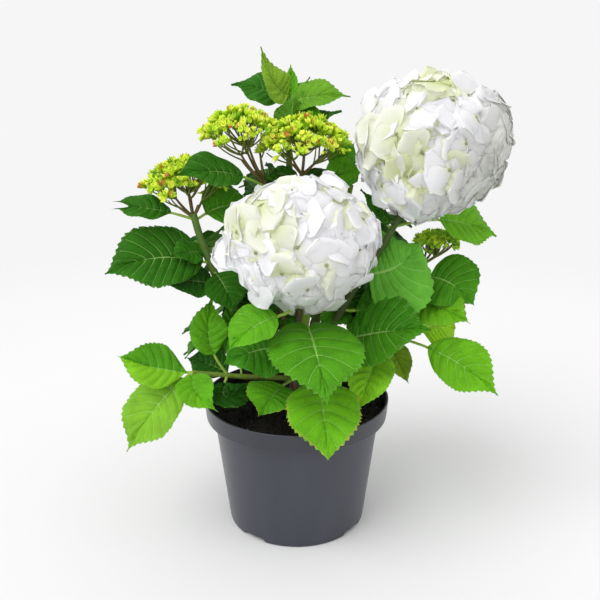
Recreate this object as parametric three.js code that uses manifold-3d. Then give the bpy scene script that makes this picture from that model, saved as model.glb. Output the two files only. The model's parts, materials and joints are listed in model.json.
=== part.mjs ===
// Hydrangea shrub in its nursery pot, in millimetres.
// The origin is the middle of the pot's underside, +Z is up and the plant's best side faces -Y.
// Turns are degrees in plan: 0 is +X, 90 is +Y (the back), -90 is the front.
import * as THREE from 'three';
import { mergeVertices } from 'three/addons/utils/BufferGeometryUtils.js';
import Module from 'manifold-3d';

const wasm = await Module();
wasm.setup();

// Driving dimensions
const potHeight = 135;
const rimRadius = 95;
const footRadius = 71.5;
const wall = 1.8;
const gap = 0.4; // between neighbours, so that no two solids touch
const soilTop = potHeight - 10;
const trunkRadius = 8;
const trunkHeight = 36;
const petioleRadius = 1.7;
const leafThickness = 6;

const radians = THREE.MathUtils.degToRad;
const heading = (turn) => new THREE.Vector3(Math.cos(radians(turn)), Math.sin(radians(turn)), 0);
const polar = (turn, reach, rise) => heading(turn).multiplyScalar(reach).setZ(rise);
const lerp = THREE.MathUtils.lerp;

function material(color, roughness) {
  return new THREE.MeshStandardMaterial({ color, roughness, metalness: 0 });
}

const finishes = {
  plastic: material('#565861', 0.5),
  peat: material('#221b16', 0.95),
  bark: material('#5b4a35', 0.85),
  cane: material('#6f7a3a', 0.7),
  leaf: material('#3f8a2c', 0.55),
  petal: material('#f3f4ee', 0.6),
  bud: material('#b8cf45', 0.6),
};

// Solids

// Joins the vertices along a geometry's seams and at its poles.
function welded(geometry) {
  geometry.deleteAttribute('normal');
  geometry.deleteAttribute('uv');
  return mergeVertices(geometry, 1e-4);
}

function solidOf(geometry) {
  const vertProperties = new Float32Array(geometry.attributes.position.array);
  const triVerts = new Uint32Array(geometry.index.array);
  return new wasm.Manifold(new wasm.Mesh({ numProp: 3, vertProperties, triVerts }));
}

// Moves each vertex of a geometry to where place(vertex) says, and makes the result a solid.
function shaped(geometry, place) {
  const closed = welded(geometry);
  const spots = closed.attributes.position;
  for (let i = 0; i < spots.count; i++) {
    spots.setXYZ(i, ...place(new THREE.Vector3().fromBufferAttribute(spots, i)));
  }
  return solidOf(closed);
}

function geometryOf(solid) {
  const mesh = solid.getMesh();
  const geometry = new THREE.BufferGeometry();
  geometry.setAttribute('position', new THREE.BufferAttribute(mesh.vertProperties, 3));
  geometry.setIndex(new THREE.BufferAttribute(mesh.triVerts, 1));
  geometry.computeVertexNormals();
  return geometry;
}

function largestPiece(solid) {
  const pieces = solid.decompose();
  return pieces.reduce((best, piece) => (piece.volume() > best.volume() ? piece : best));
}

function apart(a, b) {
  const [p, q] = [a.boundingBox(), b.boundingBox()];
  return [0, 1, 2].some((axis) => p.max[axis] < q.min[axis] || q.max[axis] < p.min[axis]);
}

const plant = new THREE.Group();
const grownSolids = [];

// Adds a node. shape(extra) gives its solid, fatter by extra on every side. What is already
// there, grown by the gap, is cut away from it, so each solid fits round the earlier ones.
function add(name, shape, finish) {
  let solid = shape(0);
  for (const earlier of grownSolids) {
    if (!apart(solid, earlier)) solid = solid.subtract(earlier);
  }
  const mesh = new THREE.Mesh(geometryOf(largestPiece(solid)), finishes[finish]);
  mesh.name = name;
  plant.add(mesh);
  grownSolids.push(shape(gap));
}

// Pot: a tapered wall, a wider band under the rim, a raised floor on a foot ring and a pad

const bandHeight = 19;
const shoulderRadius = 85.5; // outside, just under the band
const bandRadius = 93.3; // outside, at the band's lower edge
const floorLevel = 5; // underside of the raised floor
const padRadius = 18;
const ringWidth = 6;

function pot() {
  const shoulder = potHeight - bandHeight;
  const outline = [
    [0, 0], [padRadius, 0], [padRadius, floorLevel],
    [footRadius - ringWidth - 2, floorLevel], [footRadius - ringWidth, 0], [footRadius - 1.5, 0],
    [footRadius, 1.5], [shoulderRadius, shoulder], [bandRadius, shoulder],
    [rimRadius, potHeight - 0.9], [rimRadius - 0.9, potHeight],
    ...inside(0).reverse(),
  ];
  const points = outline.map(([radius, height]) => new THREE.Vector2(radius, height));
  const shell = solidOf(welded(new THREE.LatheGeometry(points, 32)));
  return [...footNotches(), ...drainHoles()].reduce((rest, tool) => rest.subtract(tool), shell);
}

// The pot's inner surface from the middle of the floor to the rim, moved inward by extra.
function inside(extra) {
  const shoulder = potHeight - bandHeight;
  const floor = floorLevel + wall + extra;
  return [
    [0, floor], [footRadius - wall - 1 - extra, floor],
    [shoulderRadius - wall - extra, shoulder + wall + extra],
    [bandRadius - wall - extra, shoulder + wall + extra],
    [rimRadius - wall - extra, potHeight],
  ];
}

function footNotches() {
  const [notchWidth, notchHeight, firstTurn] = [30, 4.5, -37];
  return [0, 90, 180, 270].map((step) => {
    const tool = new THREE.CylinderGeometry(1, 1, 2 * ringWidth + 6, 12).rotateX(Math.PI / 2);
    tool.scale(notchWidth / 2, notchHeight, 1);
    tool.translate(0, 0, footRadius).rotateY(radians(firstTurn + step));
    return solidOf(welded(tool));
  });
}

function drainHoles() {
  const [count, holeRadius, ring] = [6, 4, 42];
  return Array.from({ length: count }, (_, i) => {
    const tool = new THREE.CylinderGeometry(holeRadius, holeRadius, 20, 8);
    const [x, y] = polar((i * 360) / count, ring, 0);
    return solidOf(welded(tool.translate(x, 0, y)));
  });
}

// Soil: fills the pot to its level, flat round the trunk and lumpy further out

function soil(extra) {
  const [lumpSize, flatRadius, rings] = [2, 26, 4];
  const wallPoints = inside(gap).slice(0, 4);
  const edge = rimRadius - wall - gap - 1.2;
  const ringAt = (i) => [lerp(edge, flatRadius, i / (rings - 1)), soilTop];
  const outline = [...wallPoints, ...Array.from({ length: rings }, (_, i) => ringAt(i)), [0, soilTop]];
  const points = outline.map(([radius, height]) => new THREE.Vector2(radius, height));
  return shaped(new THREE.LatheGeometry(points, 22), ({ x, y, z }) => {
    const loose = THREE.MathUtils.smoothstep(Math.hypot(x, z), flatRadius, flatRadius + 15);
    const lump = lumpSize * Math.sin(x / 9 + 1) * Math.cos(z / 11 + x / 23);
    return [x, y > soilTop - 1 ? soilTop + loose * (lump - 1) + extra : y, z];
  });
}

// Lathes turn about Y, so what they make is stood up.
const upright = (make) => (extra) => make(extra).rotate([90, 0, 0]);

// Limbs

// A limb round a curve: a cylinder whose rings are moved onto the curve, closed by its ends.
function limb(curve, radiusAt, sides, steps) {
  const frames = curve.computeFrenetFrames(steps, false);
  return shaped(new THREE.CylinderGeometry(1, 1, 1, sides, steps), ({ x, y, z }) => {
    const step = Math.round((y + 0.5) * steps);
    const radius = radiusAt(step / steps);
    return curve.getPointAt(step / steps)
      .addScaledVector(frames.binormals[step], x * radius)
      .addScaledVector(frames.normals[step], z * radius);
  });
}

// Trunk: a short woody stump that leans a little, with its root flare cut flat at the soil

const trunkFoot = new THREE.Vector3(-2, 4, soilTop + gap);
const trunkTop = trunkFoot.clone().add(new THREE.Vector3(4, -3, trunkHeight));

function trunk(extra) {
  const [flare, knob] = [0.7, 0.6];
  return shaped(new THREE.CylinderGeometry(1, 1, 1, 12, 7), ({ x, y, z }) => {
    const share = y + 0.5;
    const taper = 1 - 0.15 * share + flare * Math.exp(-share * 9);
    const radius = trunkRadius * taper + knob * Math.sin(share * 11) + extra;
    const level = new THREE.Vector3(x * radius, -z * radius, 0);
    return trunkFoot.clone().lerp(trunkTop, share).add(level);
  });
}

// Canes: each leaves the trunk at its own height and bends up to its tip

const canes = {
  front_bloom: { turn: -76, reach: 44, rise: 112, bow: 0.8, radius: 3.6 },
  right_bloom: { turn: 2, reach: 112, rise: 190, bow: 0.58, radius: 3.8 },
  corymb_left: { turn: 147, reach: 36, rise: 203, bow: 0.9, radius: 3.4 },
  corymb_middle: { turn: 75, reach: 22, rise: 204, bow: 0.8, radius: 3.4 },
  corymb_far_left: { turn: 180, reach: 98, rise: 170, bow: 0.92, radius: 3.4 },
  corymb_right: { turn: 17, reach: 135, rise: 118, bow: 0.65, radius: 3 },
  top_shoot: { turn: 100, reach: 48, rise: 276, bow: 0.8, radius: 3.4 },
  low_left: { turn: 199, reach: 108, rise: 22, bow: 0.6, radius: 2.8 },
  low_right: { turn: 2, reach: 118, rise: 44, bow: 0.6, radius: 2.8 },
  back_left: { turn: 125, reach: 95, rise: 165, bow: 0.6, radius: 3 },
  back_right: { turn: 55, reach: 100, rise: 190, bow: 0.6, radius: 3 },
  back_low: { turn: 92, reach: 92, rise: 85, bow: 0.6, radius: 2.8 },
};

Object.values(canes).forEach((cane, i) => {
  const start = trunkFoot.clone().lerp(trunkTop, 0.6 + 0.36 * ((i * 0.618) % 1));
  const tip = polar(cane.turn, cane.reach, start.z + cane.rise);
  const elbow = start.clone().lerp(tip, 0.5);
  elbow.addScaledVector(heading(cane.turn), cane.reach * (cane.bow - 0.5));
  cane.curve = new THREE.QuadraticBezierCurve3(start, elbow, tip);
});

function caneShape({ curve, radius }) {
  const taper = 0.35;
  const steps = Math.ceil(curve.getLength() / 36);
  return (extra) => limb(curve, (share) => radius * (1 - taper * share) + extra, 6, steps);
}

// Blooms: uneven balls that sit on the tip of their cane

const blooms = {
  front: { cane: 'front_bloom', shift: [-8, -2, 43], size: [154, 122, 132] },
  right: {
    cane: 'right_bloom', shift: [10, 0, 42], size: [142, 130, 148],
    lobe: { shift: [54, -2, 46], size: [78, 86, 104] },
  },
};

// A ball with shallow waves over its surface, fatter by extra on every side.
function ball(centre, size, detail, wave, extra) {
  return shaped(new THREE.SphereGeometry(1, detail, detail / 2), (spot) => {
    const swell = 1 + wave * Math.sin(5 * spot.x + 2) * Math.cos(4 * spot.y - 1) * Math.sin(6 * spot.z);
    const half = new THREE.Vector3(...size).multiplyScalar(swell / 2).addScalar(extra);
    return spot.multiply(half).add(centre);
  });
}

function bloomShape({ cane, shift, size, lobe }) {
  const tip = canes[cane].curve.getPoint(1);
  const centre = tip.clone().add(new THREE.Vector3(...shift));
  return (extra) => {
    const head = ball(centre, size, 18, 0.06, extra);
    if (!lobe) return head;
    const lobeCentre = tip.clone().add(new THREE.Vector3(...lobe.shift));
    return head.add(ball(lobeCentre, lobe.size, 12, 0.06, extra));
  };
}

// Corymbs: flat heads of buds on rays that spread from the tip of their cane

const corymbs = {
  left: { cane: 'corymb_left', shift: [-22, 0, 56], size: [78, 66, 30], rays: 5 },
  middle: { cane: 'corymb_middle', shift: [2, -4, 39], size: [92, 74, 30], rays: 5 },
  far_left: { cane: 'corymb_far_left', shift: [-8, 8, 36], size: [86, 60, 38], rays: 5 },
  right: { cane: 'corymb_right', shift: [14, 0, 26], size: [44, 40, 16], rays: 4 },
};

function corymbShape({ cane, shift, size, rays }) {
  const rayRadius = 1.5;
  const tip = canes[cane].curve.getPoint(1).add(new THREE.Vector3(0, 0, 2 * gap));
  const centre = tip.clone().add(new THREE.Vector3(...shift));
  return (extra) => {
    let head = ball(centre, size, 10, 0.12, extra);
    for (let i = 0; i < rays; i++) {
      const spread = polar((i * 360) / rays + 20, 0.3, 0).multiply(new THREE.Vector3(...size));
      const line = new THREE.LineCurve3(tip, centre.clone().add(spread));
      head = head.add(limb(line, () => rayRadius + extra, 4, 1));
    }
    return head;
  };
}

// Leaf pads: one thin solid for each large leaf, petiole and blade, in the leaf's own outline

// Each cane's leaves. at says where on the cane the petiole starts, and reach and rise are measured
// from there to the tip. arch lifts the midrib, bend moves it to the right seen from the stalk, roll
// lowers the right edge in degrees, and stalk is the petiole's share of the length.
const leaves = {
  top_shoot: {
    top_upright: { at: 0.92, turn: 193, reach: 27, rise: 68, width: 30, arch: 2, roll: -60, stalk: 0.1 },
    top_right: { at: 0.98, turn: -17, reach: 63, rise: 5, width: 36, arch: 3, roll: 45, stalk: 0.12 },
    top_left: { at: 0.98, turn: 168, reach: 58, rise: 16, width: 36, arch: 4, roll: -45, stalk: 0.15 },
  },
  corymb_middle: {
    pair_upper: { at: 0.92, turn: 25, reach: 58, rise: 42, width: 32, arch: -6, roll: 50, stalk: 0.5 },
    pair_lower: { at: 0.92, turn: 5, reach: 66, rise: 12, width: 28, arch: 2, roll: 40, stalk: 0.5 },
  },
  corymb_left: {
    over_corymb: { at: 0.97, turn: -138, reach: 102, rise: 20, width: 42, arch: 8, roll: -42 },
  },
  corymb_far_left: {
    left_forked: { at: 0.97, turn: 186, reach: 80, rise: 15, width: 34, arch: 4, roll: -32 },
    left_inner: { at: 0.97, turn: 25, reach: 58, rise: 8, width: 50, arch: 6, roll: 45, stalk: 0.15 },
    left_large: { at: 0.76, turn: 204, reach: 100, rise: -2, width: 66, arch: 8, roll: -45, stalk: 0.08 },
    left_under: { at: 0.63, turn: 208, reach: 56, rise: 8, width: 44, arch: 3, roll: -38, stalk: 0.1 },
    left_hanging: { at: 0.72, turn: -38, reach: 30, rise: -40, width: 36, arch: 8, roll: 20, stalk: 0.15 },
  },
  front_bloom: {
    front_left_upper: { at: 0.92, turn: 217, reach: 90, rise: -34, width: 48, arch: 8, roll: -20 },
    front_left_lower: { at: 0.45, turn: 208, reach: 84, rise: -2, width: 60, arch: 6, roll: -32 },
    front_heart: { at: 0.68, turn: -79, reach: 98, rise: -40, width: 86, arch: 12, stalk: 0.1 },
    front_low: { at: 0.05, turn: -112, reach: 96, rise: 0, width: 42, arch: 8, roll: -15, stalk: 0.45 },
  },
  low_left: {
    over_soil: { at: 0.3, turn: -135, reach: 64, rise: -9, width: 36, arch: 6, roll: -20 },
    low_left_rising: { at: 0.66, turn: 130, reach: 24, rise: 78, width: 38, bend: -14, roll: -20 },
    low_left_upper: { at: 1, turn: 188, reach: 70, rise: 21, width: 48, arch: -3, roll: -46, stalk: 0.12 },
    low_left_lower: { at: 1, turn: 215, reach: 72, rise: -64, width: 58, arch: 8, roll: -25, stalk: 0.16 },
    low_left_folded: { at: 1, turn: -55, reach: 52, rise: -22, width: 40, bend: 8, roll: 20, stalk: 0.12 },
  },
  right_bloom: {
    right_large: { at: 0.5, turn: -2, reach: 62, rise: 48, width: 82, roll: 62, stalk: 0.15 },
    right_middle: { at: 0.3, turn: -16, reach: 64, rise: 22, width: 50, arch: 6, roll: 45, stalk: 0.2 },
    right_broad: { at: 0.14, turn: -31, reach: 124, rise: 46, width: 66, arch: 8, roll: 40 },
    under_bloom: { at: 0.82, turn: 20, reach: 120, rise: -18, width: 50, arch: 12, roll: 48, stalk: 0.4 },
  },
  corymb_right: {
    right_outer_upper: { at: 0.88, turn: -38, reach: 76, rise: -16, width: 56, arch: 12, roll: 40 },
    right_outer_lower: { at: 0.75, turn: -42, reach: 91, rise: -11, width: 46, arch: 5, roll: 36 },
  },
  low_right: {
    front_rim: { at: 0.15, turn: -86, reach: 126, rise: -38, width: 68, arch: 14 },
    low_right_front: { at: 0.78, turn: -113, reach: 84, rise: -38, width: 44, arch: 10, roll: -10 },
    low_right_round: { at: 0.9, turn: 30, reach: 72, rise: -6, width: 48, arch: 6, roll: 50 },
    low_right_bright: { at: 0.85, turn: -30, reach: 108, rise: -40, width: 54, arch: 10, roll: 40 },
  },
};

// Half the width of an ovate blade at a share of its length, as a share of its greatest half.
const ovate = (share) => Math.sin(Math.PI * Math.min(share, 1) ** 0.8) ** 0.7;

function leafShape(cane, { at, turn, reach, rise, width, arch = 0, bend = 0, roll = 0, stalk = 0.28 }) {
  const [around, stations] = [6, 7];
  const start = canes[cane].curve.getPointAt(at);
  const tip = start.clone().add(polar(turn, reach, rise));
  const middle = start.clone().lerp(tip, 0.5).add(polar(turn - 90, 2 * bend, 2 * arch));
  const midrib = new THREE.QuadraticBezierCurve3(start, middle, tip);
  return (extra) => {
    const blade = (share) => ovate(Math.max(share - stalk, 0) / (1 - stalk));
    return shaped(new THREE.SphereGeometry(1, around, stations), ({ x, y, z }) => {
      const share = Math.round((1 - Math.acos(y) / Math.PI) * stations) / stations;
      const ring = Math.sin(Math.PI * share) || 1;
      const halfWidth = Math.max((blade(share) * width) / 2, petioleRadius) + extra;
      const halfThickness = lerp(petioleRadius, leafThickness / 2, blade(share)) + extra;
      const along = midrib.getTangentAt(share);
      const right = heading(turn - 90).applyAxisAngle(along, radians(roll));
      const above = right.clone().cross(along);
      return midrib.getPointAt(share)
        .addScaledVector(right, (x / ring) * halfWidth)
        .addScaledVector(above, (z / ring) * halfThickness);
    });
  };
}

// Foliage masses: several leaves in one uneven pad, round the back and the inside of the crown. A
// mass's centre is measured from its place on the cane, and tilt lowers its outer side in degrees.

const masses = {
  corymb_far_left: {
    inner_left: { at: 0.5, turn: 50, reach: 36, rise: -6, size: [76, 50, 26], tilt: -20 },
  },
  corymb_right: {
    inner_right: { at: 0.5, turn: 110, reach: 14, rise: 20, size: [96, 60, 30], tilt: -20 },
  },
  corymb_middle: {
    inner_top: { at: 0.84, turn: 140, reach: 30, rise: 8, size: [64, 46, 22], tilt: -10 },
  },
  back_low: {
    back_low_left: { at: 0.4, turn: 165, reach: 70, rise: 2, size: [100, 104, 32], tilt: 30 },
    back_low_right: { at: 0.4, turn: 12, reach: 76, rise: 6, size: [100, 104, 32], tilt: 30 },
    back_low_middle: { at: 0.9, turn: 90, reach: 22, rise: -20, size: [96, 108, 32], tilt: 48 },
  },
  back_left: {
    back_left: { at: 0.8, turn: 135, reach: 26, rise: -6, size: [104, 112, 34], tilt: 42 },
  },
  back_right: {
    back_right: { at: 0.8, turn: 42, reach: 26, rise: -4, size: [104, 112, 34], tilt: 42 },
  },
  top_shoot: {
    back_high: { at: 0.66, turn: 88, reach: 52, rise: 6, size: [92, 104, 30], tilt: 42 },
  },
};

function massShape(cane, { at, turn, reach, rise, size, tilt }) {
  const centre = canes[cane].curve.getPointAt(at).add(polar(turn, reach, rise));
  return (extra) => ball(new THREE.Vector3(), size, 10, 0.2, extra)
    .rotate([0, tilt, 0])
    .rotate([0, 0, turn])
    .translate([...centre]);
}

add('pot', upright(pot), 'plastic');
add('soil', upright(soil), 'peat');
add('trunk', trunk, 'bark');
for (const [name, cane] of Object.entries(canes)) add(`cane_${name}`, caneShape(cane), 'cane');
for (const [name, bloom] of Object.entries(blooms)) add(`bloom_${name}`, bloomShape(bloom), 'petal');
for (const [name, corymb] of Object.entries(corymbs)) add(`corymb_${name}`, corymbShape(corymb), 'bud');
for (const [cane, group] of Object.entries(leaves)) {
  for (const [name, leaf] of Object.entries(group)) add(`leaf_${name}`, leafShape(cane, leaf), 'leaf');
}
for (const [cane, group] of Object.entries(masses)) {
  for (const [name, mass] of Object.entries(group)) add(`mass_${name}`, massShape(cane, mass), 'leaf');
}

export default plant;
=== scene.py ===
import json
import math
import random

import bmesh
import bpy
import numpy as np
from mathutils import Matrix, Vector, noise
from mathutils.bvhtree import BVHTree

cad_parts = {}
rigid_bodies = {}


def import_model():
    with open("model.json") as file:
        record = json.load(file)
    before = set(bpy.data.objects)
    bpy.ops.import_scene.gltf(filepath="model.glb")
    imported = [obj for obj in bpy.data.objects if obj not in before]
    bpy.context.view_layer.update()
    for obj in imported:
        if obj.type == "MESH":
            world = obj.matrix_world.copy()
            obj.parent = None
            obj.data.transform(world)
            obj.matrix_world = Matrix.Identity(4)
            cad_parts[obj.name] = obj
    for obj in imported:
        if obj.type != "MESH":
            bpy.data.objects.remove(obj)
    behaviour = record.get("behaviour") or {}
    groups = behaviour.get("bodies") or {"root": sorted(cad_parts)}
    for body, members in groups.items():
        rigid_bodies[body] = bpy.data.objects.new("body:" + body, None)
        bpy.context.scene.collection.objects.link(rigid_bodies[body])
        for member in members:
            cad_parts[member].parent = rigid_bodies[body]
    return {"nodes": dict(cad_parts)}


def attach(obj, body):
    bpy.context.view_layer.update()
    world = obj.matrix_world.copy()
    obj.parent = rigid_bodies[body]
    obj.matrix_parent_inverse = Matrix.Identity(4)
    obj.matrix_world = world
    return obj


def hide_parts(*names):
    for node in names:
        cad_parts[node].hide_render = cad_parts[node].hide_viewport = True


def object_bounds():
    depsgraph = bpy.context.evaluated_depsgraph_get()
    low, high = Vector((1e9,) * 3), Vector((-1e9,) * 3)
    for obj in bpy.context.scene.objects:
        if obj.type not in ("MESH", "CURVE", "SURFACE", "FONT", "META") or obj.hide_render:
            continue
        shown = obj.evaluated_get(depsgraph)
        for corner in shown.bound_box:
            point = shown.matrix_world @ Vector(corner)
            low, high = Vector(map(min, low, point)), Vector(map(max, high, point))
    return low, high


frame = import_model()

# A hydrangea shrub in its nursery pot. Metres, +Z up, the plant's best side towards -Y.

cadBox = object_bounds()
print("frame loaded:", len(frame["nodes"]), "nodes")


# Studio: a pale floor, an even white room and one large soft light from the upper left

studio = {
    "cameraPlace": (0.0036, -0.700, 0.448),
    "cameraPitch": 16.8,  # degrees below the level
    "lens": 43.9,
    "sensor": 36,  # millimetres
    "sight": 100,  # metres
    "roomGlow": 0.92,
    "keyPower": 1.5,
    "keyFrom": (-0.62, -0.50, 0.95),
    "keySpread": 50,  # degrees
    "floorTintWithPaintedLight": (0.79, 0.715),  # under the plant, lighter as painted light that lifts the plant's shadow on the floor, and away from it
    "floorPaintedLightFade": (0.3, 1.3),     # how far out the one passes into the other
    "floorRoughness": 0.9,
    "floorReach": 30,
}


def grey(level):
    return (level,) * 3 + (1,)


def addStudio():
    scene = bpy.context.scene
    camera = bpy.data.objects.new("camera", bpy.data.cameras.new("camera"))
    camera.data.lens = studio["lens"]
    camera.data.sensor_width = studio["sensor"]
    camera.data.clip_end = studio["sight"]
    camera.location = studio["cameraPlace"]
    camera.rotation_euler = (math.radians(90 - studio["cameraPitch"]), 0, 0)
    scene.collection.objects.link(camera)
    scene.camera = camera
    key = bpy.data.objects.new("key", bpy.data.lights.new("key", "SUN"))
    key.data.energy = studio["keyPower"]
    key.data.angle = math.radians(studio["keySpread"])
    key.rotation_euler = Vector(studio["keyFrom"]).to_track_quat("Z", "Y").to_euler()
    scene.collection.objects.link(key)
    room = bpy.data.worlds.new("room")
    room.use_nodes = True
    glow = room.node_tree.nodes["Background"]
    glow.inputs["Color"].default_value = grey(studio["roomGlow"])
    scene.world = room
    scene.view_settings.view_transform = "Standard"


addStudio()


# Node trees, written as sums

class Wire:  # one output in a node tree
    def __init__(self, graph, socket):
        self.graph = graph
        self.socket = socket

    def sum(self, operation, first, second):
        return self.graph.node("ShaderNodeMath", {"operation": operation}, {0: first, 1: second})

    def __add__(self, other):
        return self.sum("ADD", self, other)

    def __mul__(self, other):
        return self.sum("MULTIPLY", self, other)

    __radd__ = __add__
    __rmul__ = __mul__


class Graph:  # a node tree that is being written
    def __init__(self, tree):
        self.tree = tree
        tree.nodes.clear()

    def node(self, kind, settings=None, inputs=None, output=0):
        made = self.tree.nodes.new(kind)
        for name, value in (settings or {}).items():
            if name == "stops":
                self.setStops(made.color_ramp, value)
            else:
                setattr(made, name, value)
        for key, value in (inputs or {}).items():
            if isinstance(value, Wire):
                self.tree.links.new(value.socket, made.inputs[key])
            else:
                made.inputs[key].default_value = value
        return Wire(self, made.outputs[output] if made.outputs else None)

    def setStops(self, ramp, stops):
        while len(ramp.elements) < len(stops):
            ramp.elements.new(0.5)
        for element, (place, level) in zip(ramp.elements, stops):
            element.position = place
            element.color = grey(level)

    def place(self):
        return self.node("ShaderNodeTexCoord", output="Object")

    def noise(self, scale, detail=2, vector=None):
        sockets = {"Vector": vector or self.place(), "Scale": scale, "Detail": detail}
        return self.node("ShaderNodeTexNoise", None, sockets)

    def ramp(self, value, *stops):
        return self.node("ShaderNodeValToRGB", {"stops": stops}, {0: value})

    def clouds(self, scale, detail, low, high, vector=None):  # noise, cut to a narrow band
        return self.ramp(self.noise(scale, detail, vector), (low, 0), (high, 1))

    def stretched(self, rise):  # places that are squeezed upwards, so that a pattern on them is drawn out
        return self.node("ShaderNodeMapping", None, {"Vector": self.place(), "Scale": (1, 1, rise)})

    def height(self):
        return self.node("ShaderNodeSeparateXYZ", None, {0: self.place()}, 2)

    def grade(self, value, low, high):
        share = self.node("ShaderNodeMapRange", None, {0: value, 1: low, 2: high})
        return self.ramp(share, (0, 0), (1, 1))

    def vectors(self, operation, first, second, output=0):
        return self.node("ShaderNodeVectorMath", {"operation": operation}, {0: first, 1: second}, output)

    def blend(self, share, first, second):
        return self.node("ShaderNodeMix", {"data_type": "RGBA"}, {0: share, 6: first, 7: second}, 2)

    def bump(self, height, strength, distance):
        sockets = {"Height": height, "Strength": strength, "Distance": distance}
        return self.node("ShaderNodeBump", None, sockets)


def paint(tint, share=1.0):
    return tuple(min(channel * share, 1) for channel in tint) + (1,)


def skin(name, sockets, dress=None):  # a Principled material, whose varying sockets dress() returns
    made = bpy.data.materials.new(name)
    made.use_nodes = True
    graph = Graph(made.node_tree)
    varying = dress(graph) if dress else {}
    shader = graph.node("ShaderNodeBsdfPrincipled", None, {**sockets, **varying})
    graph.node("ShaderNodeOutputMaterial", None, {0: shader})
    return made


# Meshes

class Batch:  # shapes that are gathered into one piece
    def __init__(self):
        self.points = []
        self.faces = []
        self.skins = []
        self.kinds = []
        self.count = 0

    def add(self, points, faces, kinds):
        if not isinstance(kinds, list):
            kinds = [kinds] * len(faces)
        lookup = {}
        for kind in dict.fromkeys(kinds):
            if kind not in self.kinds:
                self.kinds.append(kind)
            lookup[kind] = self.kinds.index(kind)
        self.points.append(np.asarray(points, float))
        self.faces.extend([[corner + self.count for corner in face] for face in faces])
        self.skins.extend([lookup[kind] for kind in kinds])
        self.count += len(points)

    def piece(self, name, slot, replaced=()):
        mesh = bpy.data.meshes.new(name)
        mesh.from_pydata(np.concatenate(self.points).tolist(), [], self.faces)
        for kind in self.kinds:
            mesh.materials.append(kind)
        mesh.polygons.foreach_set("material_index", self.skins)
        mesh.polygons.foreach_set("use_smooth", [True] * len(self.faces))
        settle(name, mesh, replaced)


creaseAngle = 75  # degrees; a steeper edge between two faces stays sharp


def settle(name, mesh, replaced=()):  # a finished mesh becomes a piece of the plant
    mesh.update()
    mesh.set_sharp_from_angle(angle=math.radians(creaseAngle))
    made = bpy.data.objects.new(name, mesh)
    bpy.context.scene.collection.objects.link(made)
    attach(made, "root")
    if replaced:
        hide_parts(*replaced)


def unit(vectors):
    vectors = np.asarray(vectors, float)
    return vectors / np.maximum(np.linalg.norm(vectors, axis=-1, keepdims=True), 1e-12)


def turnsOf(count):  # angles spread evenly round a circle
    return np.arange(count) * 2 * math.pi / count


def heading(turn):
    return np.array([math.cos(turn), math.sin(turn), 0])


def scatter(rng):  # a random lean
    return np.array([rng.gauss(0, 1) for _ in range(3)])


def goldenTurns(steps):  # turns that never line up
    return steps * math.pi * (3 - math.sqrt(5))


def tube(line, radii, sides, relief=None):  # points and faces of a closed round limb along a line
    line = np.asarray(line, float)
    ahead = unit(np.gradient(line, axis=0))
    side = unit(np.cross(ahead[0], [0.31, 0.92, 0.23]))
    rings = []
    turns = turnsOf(sides)
    for step, (spot, way) in enumerate(zip(line, ahead)):
        side = unit(side - way * side.dot(way))
        other = np.cross(way, side)
        radius = radii[step] + (relief(step, turns) if relief else 0)
        radius = np.broadcast_to(radius, turns.shape)[:, None]
        rings.append(spot + radius * (np.cos(turns)[:, None] * side + np.sin(turns)[:, None] * other))
    points = np.concatenate([*rings, line[:1], line[-1:]])
    faces = []
    for ring in range(len(line) - 1):
        for turn in range(sides):
            near, far = ring * sides + turn, ring * sides + (turn + 1) % sides
            faces.append([near, far, far + sides, near + sides])
    first, last = len(points) - 2, len(points) - 1
    top = (len(line) - 1) * sides
    for turn in range(sides):
        nextTurn = (turn + 1) % sides
        faces.append([nextTurn, turn, first])
        faces.append([top + turn, top + nextTurn, last])
    return points, faces


class Spine:  # a quadratic curve, the middle line of a limb or a leaf
    def __init__(self, start, middle, end):
        self.ends = np.array([start, middle, end], float)

    def at(self, share):
        share = np.asarray(share, float)[..., None]
        start, middle, end = self.ends
        return (1 - share) ** 2 * start + 2 * share * (1 - share) * middle + share ** 2 * end

    def ahead(self, share):
        share = np.asarray(share, float)[..., None]
        start, middle, end = self.ends
        return unit((1 - share) * (middle - start) + share * (end - middle))

    def length(self):
        steps = np.diff(self.at(np.linspace(0, 1, 33)), axis=0)
        return float(np.linalg.norm(steps, axis=1).sum())

    def nearest(self, spots):  # shares along the curve that are nearest to the spots
        shares = np.linspace(0, 1, 101)
        gaps = np.linalg.norm(np.asarray(spots)[:, None] - self.at(shares)[None], axis=2)
        return shares[gaps.argmin(axis=1)]


# What the frame says: each cane's and each leaf pad's middle line

def cornersOf(node):
    mesh = frame["nodes"][node].data
    spots = np.empty(len(mesh.vertices) * 3)
    mesh.vertices.foreach_get("co", spots)
    return spots.reshape(-1, 3)


def facetsOf(node):
    mesh = frame["nodes"][node].data
    centres = np.empty(len(mesh.polygons) * 3)
    areas = np.empty(len(mesh.polygons))
    mesh.polygons.foreach_get("center", centres)
    mesh.polygons.foreach_get("area", areas)
    return centres.reshape(-1, 3), areas


def fittedSpine(start, end, spots, weights, freeEnds):
    spine = Spine(start, (start + end) / 2, end)
    for _ in range(12):
        share = spine.nearest(spots)
        parts = np.stack([(1 - share) ** 2, 2 * share * (1 - share), share ** 2], axis=1)
        if freeEnds:
            root = np.sqrt(weights)[:, None]
            spine = Spine(*np.linalg.lstsq(parts * root, spots * root, rcond=None)[0])
        else:
            rest = spots - parts[:, :1] * start - parts[:, 2:] * end
            pull = (weights * parts[:, 1])[:, None]
            middle = (pull * rest).sum(axis=0) / (pull * parts[:, 1:2]).sum()
            spine = Spine(start, middle, end)
    return spine


def farthest(spots, spot):
    return spots[np.linalg.norm(spots - spot, axis=1).argmax()]


def nearestTo(spots, spot):
    return spots[np.linalg.norm(spots - spot, axis=1).argmin()]


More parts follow.
